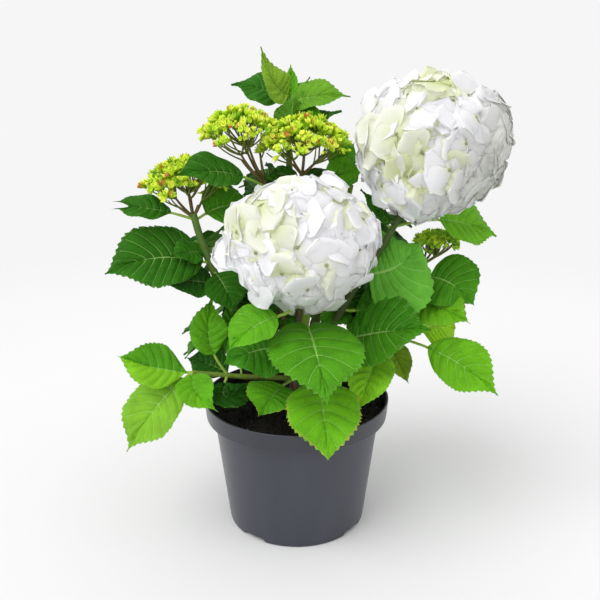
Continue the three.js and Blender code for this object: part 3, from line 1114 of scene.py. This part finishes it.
caneLooks = {
    "corymb_left": "dusky",
    "corymb_middle": "dusky",
    "corymb_far_left": "pale",
    "top_shoot": "green",
    "low_left": "light",
    "front_bloom": "light",
    "right_bloom": "dark",
}


barkTints = ((0.045, 0.030, 0.018), (0.200, 0.150, 0.095))
fleckTint = (0.08, 0.045, 0.02)


def barkSkin():
    def dress(graph):
        strips = graph.noise(420, 5, graph.stretched(0.25))
        light = graph.ramp(strips, (0.36, 0), (0.66, 1))
        return {
            "Base Color": graph.blend(light, *(paint(tint) for tint in barkTints)),
            "Roughness": light * 0.1 + 0.82,
            "Normal": graph.bump(strips, 0.8, 0.0007),
        }
    return skin("bark", {"Specular IOR Level": 0.2}, dress)


def caneSkin(name, foot, tip):
    def dress(graph):
        rise = graph.grade(graph.height(), *limbForm["ageing"])
        flecks = graph.clouds(520, 3, 0.56, 0.66)
        color = graph.blend(rise, paint(foot), paint(tip))
        return {
            "Base Color": graph.blend(flecks * 0.45, color, paint(fleckTint)),
            "Roughness": flecks * 0.15 + 0.5,
            "Normal": graph.bump(flecks, 0.25, 0.0003),
        }
    return skin(name, {"Specular IOR Level": 0.35}, dress)


caneSkins = {look: caneSkin("cane_" + look, *tints) for look, tints in caneTints.items()}


def addTrunk():
    foot, head = trunkFoot.mean(axis=0), trunkHead.mean(axis=0)
    shares = np.linspace(0, 1, 34)
    line = foot + shares[:, None] * (head - foot)
    flare = limbForm["trunkFlare"] * np.exp(-shares * 9)
    radii = limbForm["trunkRadius"] * (1 - limbForm["trunkTaper"] * shares + flare)

    def relief(step, turns):
        rise = shares[step]
        places = [Vector((2.6 * math.cos(turn), 2.6 * math.sin(turn), rise * 1.6)) for turn in turns]
        strips = [noise.noise(place) for place in places]
        return 0.0007 * np.sin(turns * 7 + rise * 2) + 0.0016 * np.array(strips)

    points, faces = tube(line, radii, 48, relief)
    settle("woody_trunk", meshOf("trunk", points, faces, barkSkin()), ["trunk"])


def addCanes():
    batch = Batch()
    for name, cane in canes.items():
        spine, length = cane["spine"], cane["spine"].length()
        shares = np.linspace(0, 1, max(18, int(length / limbForm["ringStep"])))
        near = np.abs((shares * length / limbForm["jointGap"] + 0.5) % 1 - 0.5) * limbForm["jointGap"]
        swell = 1 + limbForm["jointSwell"] * np.exp(-(near / limbForm["jointReach"]) ** 2)
        radii = cane["radius"] * (1.12 - limbForm["taper"] * shares) * swell
        rng = random.Random(name)
        bend = np.array([rng.uniform(-1, 1) for _ in range(3)])
        swing = np.sin(shares * math.pi * 3) * shares * (1 - shares)
        line = spine.at(shares) + np.outer(swing, bend) * limbForm["sway"]
        batch.add(*tube(line, radii, 12), caneSkins[caneLooks.get(name, "green")])
    batch.piece("canes", "green_cane", ["cane_" + name for name in canes])


addTrunk()
addCanes()
print("trunk and canes made")


# Blooms: balls of broad, overlapping four-petalled florets, greenish where they are young

floretForm = {
    "columns": 11,
    "rows": 9,
    "thickness": 0.0004,
    "inset": 0.0080,      # how far below the bloom's outline a floret's heart sits
    "insetSpread": (-0.001, 0.004),
    "tilt": 0.20,
    "size": (0.0240, 0.0290),  # length of a petal
    "usual": 0.025,
    "under": 0.0060,      # how much deeper the second layer sits
    "drawn": 0.5,         # how much of what reaches past the outline is left
}

bloomLining = {
    "rows": 97,
    "columns": 192,
    "calming": 1,     # rounds of smoothing for its shape
    "levelling": 12,  # and for the level that its hollows are measured from
    "deep": 0.006,    # a hollow that gets the full tint
    "inset": 0.0004,
}

petalLooks = {  # tint, tint towards the heart, and how far that tint spreads
    "white": ((0.88, 0.88, 0.895), (0.80, 0.83, 0.62), 0.34),
    "cream": ((0.82, 0.83, 0.70), (0.66, 0.715, 0.40), 0.80),
    "lime": ((0.77, 0.795, 0.55), (0.53, 0.615, 0.23), 0.95),
}
heartTint = (0.30, 0.34, 0.16)
# the grey of the painted shade on one side of each bloom
paintedShadeTint = (0.54, 0.55, 0.51)

petalFinish = {  # light goes a little way into a petal, which softens the lines between them
    "Roughness": 0.62,
    "Specular IOR Level": 0.25,
    "Subsurface Weight": 0.35,
    "Subsurface Radius": (0.002, 0.002, 0.0017),
    "Subsurface Scale": 1.0,
}


def reachInto(graph):  # how far out a spot is on its small shape
    ground = graph.node("ShaderNodeUVMap", {"uv_map": "reach"})
    return graph.node("ShaderNodeSeparateXYZ", None, {0: ground})


def petalSkin(name, tint, heart, spreadTo, centre, shadeWay):
    def dress(graph):
        reach = reachInto(graph)
        inner = graph.ramp(reach, (0.06, 1), (spreadTo, 0))
        cloud = graph.clouds(48, 2, 0.35, 0.7)
        pale = graph.blend(cloud * 0.5, paint(tint), paint(tint, 0.93))
        # painted shade: the petal colour is blended towards a grey the further a spot lies towards one side
        # of the bloom
        offset = graph.vectors("SUBTRACT", graph.place(), tuple(centre))
        along = graph.vectors("DOT_PRODUCT", offset, tuple(shadeWay), "Value")
        paintedShade = graph.ramp(along, (0.05, 0), (0.85, 1))
        flower = graph.blend(inner, pale, paint(heart))
        shaded = graph.blend(paintedShade * 0.9, flower, paint(paintedShadeTint))
        return {
            "Base Color": graph.blend(graph.ramp(reach, (0.03, 1), (0.10, 0)), shaded, paint(heartTint)),
            "Normal": graph.bump(graph.noise(260, 3), 0.12, 0.0004),
        }
    return skin(name, petalFinish, dress)


def withReach(mesh, reaches):  # notes how far out each corner is, for the skins
    layer = mesh.uv_layers.new(name="reach")
    for loop in mesh.loops:
        layer.data[loop.index].uv = (reaches[loop.vertex_index], 0)
    return mesh


petalForm = {  # shares of a petal's length, and the spreads that they are drawn from
    "half": 0.62,
    "broader": (0.92, 1.10),
    "belly": (0.95, 1.25),   # higher puts the widest place further out
    "round": (1.8, 2.6),     # higher is squarer
    "skew": (-0.10, 0.10),
    "bend": (0.00, 0.36),
    "rise": (0.07, 0.14),    # usual, and how widely it differs
    "cup": (-0.25, 0.70),
    "waves": (0.06, 0.16),
    "waveTurns": (4, 7),
    "crease": 0.02,
    "creaseHalf": 0.12,
}


def petal(turn, lift, rng):  # points, faces and reaches of one petal of unit length
    shares = (0.5 - 0.5 * np.cos(np.linspace(0, math.pi, floretForm["rows"])))[:, None]
    across = np.sin(np.linspace(-0.5, 0.5, floretForm["columns"]) * math.pi)[None, :]
    belly = shares ** rng.uniform(*petalForm["belly"])
    wide = 1 - np.abs(2 * belly - 1) ** rng.uniform(*petalForm["round"])
    wide = np.maximum(wide * petalForm["half"] * rng.uniform(*petalForm["broader"]), 0.01)
    skew = rng.uniform(*petalForm["skew"])
    side = across * wide + skew * shares ** 2
    along = shares * (1 - 0.06 * across ** 2)
    bend = rng.uniform(*petalForm["bend"])
    rise = lift + rng.gauss(*petalForm["rise"]) * shares - bend * shares ** 2
    rise = rise - rng.uniform(*petalForm["cup"]) * (across * wide) ** 2
    waves = rng.uniform(*petalForm["waves"]) * np.abs(across) ** 1.5 * shares
    phases = shares * rng.uniform(*petalForm["waveTurns"]) + across * 2
    rise = rise + waves * np.sin(phases + rng.uniform(0, 6))
    crease = petalForm["crease"] * np.exp(-(across / petalForm["creaseHalf"]) ** 2)
    rise = rise - crease * shares * (1 - shares)
    along, side, rise = np.broadcast_arrays(along, side, rise)
    top = np.stack([along * math.cos(turn) - side * math.sin(turn),
                    along * math.sin(turn) + side * math.cos(turn), rise], axis=2)
    under = top - (0, 0, floretForm["thickness"] / floretForm["usual"])
    points, upper, lower = sheet(top, under)
    reaches = np.minimum(np.linalg.norm(points[:, :2], axis=1), 1)
    faces = [face for side in (upper, lower) for face in side.reshape(-1, 4)[:, ::-1].tolist()]
    return points, faces, reaches


def floretMesh(seed):  # four petals, one pair over the other, round a small heart
    rng = random.Random(seed)
    points, faces, reaches, count = [], [], [], 0
    for step in range(4):
        turn = step * math.pi / 2 + rng.uniform(-0.16, 0.16)
        made = petal(turn, 0.05 * (step % 2), rng)
        points.append(made[0])
        faces += [[corner + count for corner in face] for face in made[1]]
        reaches += made[2].tolist()
        count += len(made[0])
    heart, sides = lathe([(0, -0.08), (0.04, 0), (0.05, 0.05), (0.03, 0.09), (0, 0.10)], 8)
    points.append(heart)
    faces += [[corner + count for corner in face] for face in sides]
    reaches += [0.0] * len(heart)
    return withReach(meshOf("floret", np.concatenate(points), faces), reaches)


floretShapes = shapeBox("floret", [floretMesh(seed) for seed in range(5)])

# The first way given for each bloom points to the side whose petals are painted greyer, as painted shade, and
# fade is how fast that painted shade deepens.
# Young gives the middle of each patch of young florets and how wide the patch is, in radians.
blooms = {
    "front": {
        "florets": 60,
        "shift": (0.003, 0, 0.002),
        "shadeWay": (0.40, -0.05, -0.92),
        "shadeFade": 0.9,
        "young": {(-0.52, -0.66, 0.54): 0.45, (0.62, -0.40, 0.67): 0.26, (-0.16, -0.94, -0.30): 0.22,
                  (0.55, -0.79, -0.28): 0.20, (0.2, 0.9, 0.3): 0.5},
    },
    "right": {
        "florets": 76,
        "shift": (0.002, 0, 0),
        "shadeWay": (0.90, -0.10, -0.42),
        "shadeFade": 1.3,
        "young": {(-0.64, -0.76, -0.12): 0.55, (0.0, -0.36, 0.93): 0.36, (0.08, -0.91, -0.42): 0.20,
                  (0.3, 0.9, 0.1): 0.5},
    },
}


def surfaceOf(node):
    mesh = frame["nodes"][node].data
    spots = [tuple(spot) for spot in cornersOf(node)]
    return BVHTree.FromPolygons(spots, [list(face.vertices) for face in mesh.polygons])


def evenWays(count):  # directions spread evenly over a ball
    steps = np.arange(count) + 0.5
    rise = 1 - 2 * steps / count
    turns = goldenTurns(steps)
    level = np.sqrt(1 - rise ** 2)
    return np.stack([np.cos(turns) * level, np.sin(turns) * level, rise], axis=1)


def drawnIn(mesh, surface, centre):  # petals that reach past the bloom's outline are bent back to it
    for vertex in mesh.vertices:
        way = vertex.co - centre
        outline = (surface.ray_cast(centre, way.normalized())[0] - centre).length
        if way.length > outline:
            reach = outline + floretForm["drawn"] * (way.length - outline)
            vertex.co = centre + way * (reach / way.length)
    return mesh


def youthOf(way, bloom):
    return max(1 - math.acos(min(way @ unit(patch), 1)) / wide for patch, wide in bloom["young"].items())


def growBloom(name, bloom, seed):
    node = "bloom_" + name
    surface, corners = surfaceOf(node), cornersOf(node)
    centre = (corners.min(axis=0) + corners.max(axis=0)) / 2
    half = (corners.max(axis=0) - corners.min(axis=0)) / 2
    # the way and rate of the painted shade, scaled to the bloom's size
    shadeWay = unit(bloom["shadeWay"]) * bloom["shadeFade"] / half.mean()
    skins = {}
    for look, values in petalLooks.items():
        skins[look] = petalSkin(f"petal_{name}_{look}", *values, centre, shadeWay)
    rng = random.Random(seed)
    sown = {look: newSeeds() for look in petalLooks}
    ways = [(way, 0) for way in evenWays(bloom["florets"])]
    # the layer under the outer one
    ways += [(way * (-1, 1, -1), floretForm["under"]) for way in evenWays(bloom["florets"])]
    for way, depth in ways:
        way = unit(way * half)
        spot, normal = surface.ray_cast(Vector(centre), Vector(way))[:2]
        outward = np.array(normal) * (1 if normal.dot(Vector(way)) > 0 else -1)
        sway = scatter(rng) * floretForm["tilt"]
        size = rng.uniform(*floretForm["size"])
        inset = floretForm["inset"] + depth + rng.uniform(*floretForm["insetSpread"])
        heart = np.array(spot) + bloom["shift"] - outward * inset
        youth = youthOf(way, bloom) + rng.gauss(0, 0.15) + depth * 30
        look = "lime" if youth > 0.50 else "cream" if youth > 0.05 else "white"
        sow(sown[look], heart, unit(outward * 1.4 + way * 0.6 + sway), size)
    points, faces = [], []
    for look, seeds in sown.items():
        mesh = drawnIn(grown(seeds, floretShapes, skins[look], seed), surface, Vector(centre))
        faces += [[corner + len(points) for corner in face.vertices] for face in mesh.polygons]
        points += [tuple(vertex.co) for vertex in mesh.vertices]
        settle(f"{node}_{look}", mesh, [node] if look == "white" else ())
    lining = liningOf(BVHTree.FromPolygons(points, faces), centre, half)
    for look in petalLooks:
        lining.materials.append(skins[look])
    for face in lining.polygons:
        youth = youthOf(unit(np.array(face.center) - centre), bloom)
        face.material_index = 2 if youth > 0.3 else 1 if youth > -0.5 else 0
    settle(node + "_core", lining)


def calmed(values, pairs, rounds):  # each value drawn towards its neighbours
    for _ in range(rounds):
        total, count = values.copy(), np.ones(len(values))
        np.add.at(total, pairs[:, 0], values[pairs[:, 1]])
        np.add.at(count, pairs[:, 0], 1)
        values = total / count
    return values


def liningOf(petals, centre, half):  # a closed skin that follows the petals from inside, to keep gaps light
    arc = np.linspace(0, math.pi, bloomLining["rows"])
    ways, faces = lathe([(abs(math.sin(turn)), -math.cos(turn)) for turn in arc], bloomLining["columns"])
    ways = unit(ways * half)
    far = [centre + way * 0.2 for way in ways]
    spots = [petals.ray_cast(Vector(start), Vector(-way))[0] for start, way in zip(far, ways)]
    reach = np.array([np.linalg.norm(np.array(spot) - centre) for spot in spots])
    pairs = np.array([(face[step - 1], face[step]) for face in faces for step in range(len(face))])
    calm = calmed(reach, pairs, bloomLining["calming"])
    level = np.minimum(calm, reach) - bloomLining["inset"]
    hollow = np.clip((calmed(calm, pairs, bloomLining["levelling"]) - level) / bloomLining["deep"], 0, 1)
    mesh = meshOf("lining", centre + ways * level[:, None], faces)
    return withReach(mesh, (0.62 - 0.35 * hollow).tolist())


for seed, (bloomName, bloom) in enumerate(blooms.items(), 5):
    growBloom(bloomName, bloom, seed)
print("blooms grown")


# Corymbs: flat heads of lime cups on forking rays

cupSize = (0.0036, 0.0050)
openTones = {"blush": 0.04, "yellow": 0.38, "lime": 0.86, "green": 1.0}  # shares of the cups, added up
closedTones = {"blush": 0.03, "lime": 0.45, "green": 1.0}

# Drop is how far the outermost clumps hang under the middle, and cups is their size against the usual
corymbLooks = {
    "left": {"depth": 0.030, "drop": 0.020, "hubs": 5, "clumps": 44, "cups": 1, "tones": openTones},
    "middle": {"depth": 0.030, "drop": 0.024, "hubs": 5, "clumps": 54, "cups": 1, "tones": openTones},
    "far_left": {"depth": 0.038, "drop": 0.025, "hubs": 5, "clumps": 56, "cups": 1, "tones": openTones},
    "right": {"depth": 0.016, "drop": 0.008, "hubs": 4, "clumps": 30, "cups": 0.8, "tones": closedTones},
}

budTints = {
    "lime": ((0.64, 0.87, 0.036), (0.32, 0.54, 0.008)),
    "yellow": ((0.86, 0.94, 0.100), (0.50, 0.70, 0.012)),
    "blush": ((0.60, 0.17, 0.040), (0.44, 0.58, 0.020)),
    "green": ((0.30, 0.56, 0.015), (0.14, 0.36, 0.008)),
}


def budSkin(name, tip, foot):
    def dress(graph):
        rise = graph.ramp(reachInto(graph), (0.35, 0), (0.85, 1))
        cloud = graph.clouds(300, 2, 0.4, 0.6)
        top = graph.blend(cloud * 0.4, paint(tip), paint(tip, 0.75))
        return {
            "Base Color": graph.blend(rise, paint(foot), top),
            "Roughness": cloud * 0.1 + 0.45,
        }
    return skin(name, {"Specular IOR Level": 0.35}, dress)


budSkins = {look: budSkin("bud_" + look, *tints) for look, tints in budTints.items()}


def cupMesh(seed):  # a small bud cup: narrow foot, lobed mouth and a hollow
    rng = random.Random(seed)
    sides = 10
    lobes = rng.uniform(0.25, 0.45)
    rows = [(0, -0.9), (0.13, -0.85), (0.16, -0.3), (0.36, 0.05), (0.50, 0.45), (0.58, 0.85),
            (0.50, 0.86), (0.36, 0.55), (0, 0.40)]
    points, faces = lathe(rows, sides)
    turns = np.arctan2(points[:, 1], points[:, 0])
    rim = smooth(points[:, 2], 0.4, 0.86) * (np.hypot(points[:, 0], points[:, 1]) > 0.3)
    wave = np.cos(turns * 5 + rng.uniform(0, 6)) * rim * lobes
    points[:, 2] += wave
    points[:, :2] *= (1 + 0.25 * wave[:, None])
    points[:, :2] += 0.12 * rng.uniform(-1, 1) * smooth(points[:, 2:3], 0, 1)
    reaches = np.clip((points[:, 2] + 0.9) / 2, 0, 1)
    return withReach(meshOf("cup", points, faces), reaches.tolist())


def budMesh(seed):  # a closed bud on its foot
    rng = random.Random(seed)
    rows = [(0, -0.9), (0.12, -0.85), (0.15, -0.2), (0.34, 0.1), (0.42, 0.42), (0.32, 0.74), (0.1, 0.93),
            (0, 0.95)]
    points, faces = lathe(rows, 8)
    points[:, 0] *= rng.uniform(0.85, 1.1)
    reaches = np.clip((points[:, 2] + 0.9) / 1.9, 0, 1)
    return withReach(meshOf("bud", points, faces), reaches.tolist())


cupShapes = shapeBox("cup", [cupMesh(seed) for seed in range(4)] + [budMesh(9)])


def growCorymb(name, look, rays, sown):
    node = "corymb_" + name
    rng = random.Random(name)
    corners = cornersOf(node)
    tip = canes[node]["spine"].at(1.0)
    top = corners[:, 2].max()
    head = corners[corners[:, 2] > top - look["depth"]]
    low, high = head.min(axis=0), head.max(axis=0)
    centre, half = (low + high) / 2, (high - low) / 2
    hubs = []
    for hub in range(look["hubs"]):
        turn = (hub + rng.uniform(-0.2, 0.2)) * 2 * math.pi / look["hubs"] + 0.4
        spread = heading(turn)[:2] * half[:2] * rng.uniform(0.42, 0.55)
        target = np.array([*(centre[:2] + spread), top - 0.020 - look["drop"] * rng.uniform(0.6, 1.0)])
        hubs.append(tip + (target - tip) * rng.uniform(0.55, 0.8))
    hubs.append(tip + (np.array([centre[0], centre[1], top - 0.020 - 0.3 * look["drop"]]) - tip) * 0.7)
    for hub in hubs:
        bow = (tip + hub) / 2 + (hub - tip) * (0.16, 0.16, -0.10)
        line = Spine(tip - (0, 0, 0.004), bow, hub).at(np.linspace(0, 1, 9))
        rays.add(*tube(line, np.linspace(*rayRadii["main"], len(line)), 7), raySkins["dusky"])
    for clump in range(look["clumps"]):
        share = math.sqrt((clump + 0.5) / look["clumps"])
        turn = goldenTurns(clump) + rng.uniform(-0.2, 0.2)
        level = heading(turn)[:2] * share * half[:2] * 0.92
        fall = look["drop"] * (share ** 2 + rng.uniform(0, 0.45) * (clump % 2))
        spot = np.array([*(centre[:2] + level), top - 0.008 - fall])
        if name == "far_left" and level[1] < 0 and level @ (0.8, -0.6) > 0.5 * half[0]:
            continue  # a leaf lies over this side
        hub = nearestTo(np.array(hubs), spot)
        bow = hub * 0.45 + spot * 0.55 + (spot - hub) * (0.18, 0.18, -0.18)
        line = Spine(hub, bow, spot).at(np.linspace(0, 1, 7))
        rays.add(*tube(line, np.linspace(*rayRadii["fine"], len(line)), 5), raySkins["olive"])
        lean = unit(np.array([*(level / half[:2] * 0.75), 1.0]))
        for _ in range(rng.randint(8, 11)):
            way = unit(lean + scatter(rng) * 0.62)
            size = rng.uniform(*cupSize) * look["cups"]
            place = spot + way * (0.0030 + size * 0.8)
            tone = rng.random()
            kind = next(kind for kind, below in look["tones"].items() if tone < below)
            sow(sown[kind], place, way, size)
    return node


rayRadii = {"main": (0.0016, 0.0011), "fine": (0.0009, 0.0006)}  # at the foot and at the tip

raySkins = {
    "dusky": caneSkin("ray_dusky", (0.120, 0.115, 0.032), (0.150, 0.105, 0.034)),
    "olive": caneSkin("ray_olive", (0.150, 0.180, 0.030), (0.160, 0.190, 0.030)),
}


def growCorymbs():
    rays, nodes = Batch(), []
    sown = {look: newSeeds() for look in budTints}
    for name, look in corymbLooks.items():
        nodes.append(growCorymb(name, look, rays, sown))
    rays.piece("corymb_rays", "flower_bud", nodes)
    for look, seeds in sown.items():
        settle("corymb_cups_" + look, grown(seeds, cupShapes, budSkins[look], 2))


growCorymbs()
print("corymbs grown")


# Foliage inside and behind: twigs from the nearest cane, with two leaves half-way and three at the tip

fillForm = {
    "fans": (-1.05, 0.0, 1.05),  # which way each twig goes
    "steps": (-0.008, 0.012, -0.002),  # and how far over the mass's middle it ends
    "innerFan": (2.9, 0.004),    # both of these for one more twig in an inner mass
    "nodes": {1.0: (-0.85, 0.0, 0.85), 0.5: (-1.25, 1.25)},  # where leaves leave a twig, and which way
    "length": (0.056, 0.092),
    "wide": 0.33,         # half a blade, as a share of its length
    "looks": {"stalk": (0.14, 0.24), "fold": (4, 14), "widest": (0.38, 0.46), "blunt": (0.6, 0.75)},
    "twigRadius": 0.0016,
    "past": 0.012,        # how far a leaf may end past the mass
    "plantRoom": 0.004,
    "ownRoom": 0.010,
    "shrink": 0.93,
    "least": 0.03,
}

massTints = {
    "inner_left": ("deep", "dark", "deep"),
    "inner_right": ("deep", "dark", "mid"),
    "inner_top": ("deep", "dark"),
    "back_low_left": ("dark", "mid", "fresh"),
    "back_low_right": ("dark", "mid", "fresh"),
    "back_low_middle": ("dark", "mid", "fresh"),
    "back_left": ("dark", "mid", "dark"),
    "back_right": ("dark", "mid", "dark"),
    "back_high": ("deep", "dark", "mid"),
}


def nearestCane(spot):  # the place on a cane that is nearest to a spot
    places = [cane["spine"].at(cane["spine"].nearest(spot[None]))[0] for cane in canes.values()]
    return nearestTo(np.array(places), spot)


def withinBoxes(spot, ownBox):  # the plant's and the mass's own, with a little room
    boxes = ((cadBox, fillForm["plantRoom"]), (ownBox, fillForm["ownRoom"]))
    return all(low - room < place < high + room for box, room in boxes
               for place, low, high in zip(spot, *box))


def growMass(name, tints, blades, stalks):
    node = "mass_" + name
    rng = random.Random(name)
    corners, surface = cornersOf(node), surfaceOf(node)
    ownBox = (corners.min(axis=0), corners.max(axis=0))
    centre = corners.mean(axis=0)
    axes = np.linalg.svd(corners - centre, full_matrices=False)[2]
    up = axes[2] if axes[2][2] > 0 else -axes[2]
    root = nearestCane(centre)
    outward = centre - root
    outward -= up * outward.dot(up)
    outward = unit(outward) if np.linalg.norm(outward) > 0.012 else axes[0]
    aside = np.cross(up, outward)
    twigs = list(zip(fillForm["fans"], fillForm["steps"])) + [fillForm["innerFan"]] * name.startswith("inner")
    for fan, step in twigs:
        fan += rng.uniform(-0.15, 0.15)
        way = unit(outward * math.cos(fan) + aside * math.sin(fan))
        hull = surface.ray_cast(Vector(centre), Vector(way))[3] or 0.04
        end = centre + way * hull * 0.30 + up * step
        spine = Spine(root, (root + end) / 2 - up * 0.006, end)
        shares = np.linspace(0, 1, 12)
        radii = fillForm["twigRadius"] * (1.5 - 0.7 * shares)
        stalks.add(*tube(spine.at(shares), radii, 7), caneSkins["green"])
        for share, turns in fillForm["nodes"].items():
            start, ahead = spine.at(share), spine.ahead(share)
            across = unit(np.cross(ahead, up))
            for turn in turns:
                turn += rng.uniform(-0.2, 0.2)
                leafWay = ahead * math.cos(turn) + across * math.sin(turn)
                leafWay = unit(leafWay + up * rng.uniform(-0.05, 0.20))
                room = surface.ray_cast(Vector(start), Vector(leafWay))[3] or 0.03
                length = min(max(room + fillForm["past"], fillForm["length"][0]), fillForm["length"][1])
                length *= rng.uniform(0.9, 1.05)
                droop = (0, 0, rng.uniform(0.20, 0.38))
                tip = start + (leafWay - droop) * length
                while length > fillForm["least"] and not withinBoxes(tip, ownBox):
                    length *= fillForm["shrink"]
                    tip = start + (leafWay - droop) * length
                middle = start + leafWay * length * 0.5 + up * length * rng.uniform(0.04, 0.10)
                leaf = Spine(start, middle, tip)
                above = unit(up + leafWay * (1, 1, 0) * 0.5 + scatter(rng) * 0.12)
                tint = rng.choice(tints)
                look = {**plainLeaf, "tint": tint, "teeth": 0.8}
                for key, spread in fillForm["looks"].items():
                    look[key] = rng.uniform(*spread)
                half = length * fillForm["wide"] * rng.uniform(0.92, 1.12)
                addBlade(blades, leaf, above, half, look, rng, False)
                addStalk(stalks, leaf, above, start, look, leafForm["innerStalkRadius"])
    return node


def growMasses():
    blades, stalks = Batch(), Batch()
    nodes = [growMass(name, tints, blades, stalks) for name, tints in massTints.items()]
    blades.piece("inner_leaves", "leaf", nodes)
    stalks.piece("inner_twigs", "leaf")


growMasses()
print("inner foliage grown")


def addFloor():
    reach = studio["floorReach"]
    corners = [(-reach, -reach, 0), (reach, -reach, 0), (reach, reach, 0), (-reach, reach, 0)]
    mesh = bpy.data.meshes.new("floor")
    mesh.from_pydata(corners, [], [(0, 1, 2, 3)])

    def dress(graph):
        away = graph.node("ShaderNodeVectorMath", {"operation": "LENGTH"}, {0: graph.place()}, 1)
        # the floor is painted lighter near the plant: painted light that lifts the plant's shadow and shade
        share = graph.grade(away, *studio["floorPaintedLightFade"])
        near, far = studio["floorTintWithPaintedLight"]
        return {"Base Color": graph.blend(share, grey(near), grey(far))}

    finish = {"Roughness": studio["floorRoughness"], "Specular IOR Level": 0.0}
    mesh.materials.append(skin("floor", finish, dress))
    floor = bpy.data.objects.new("floor", mesh)
    bpy.context.scene.collection.objects.link(floor)


addFloor()
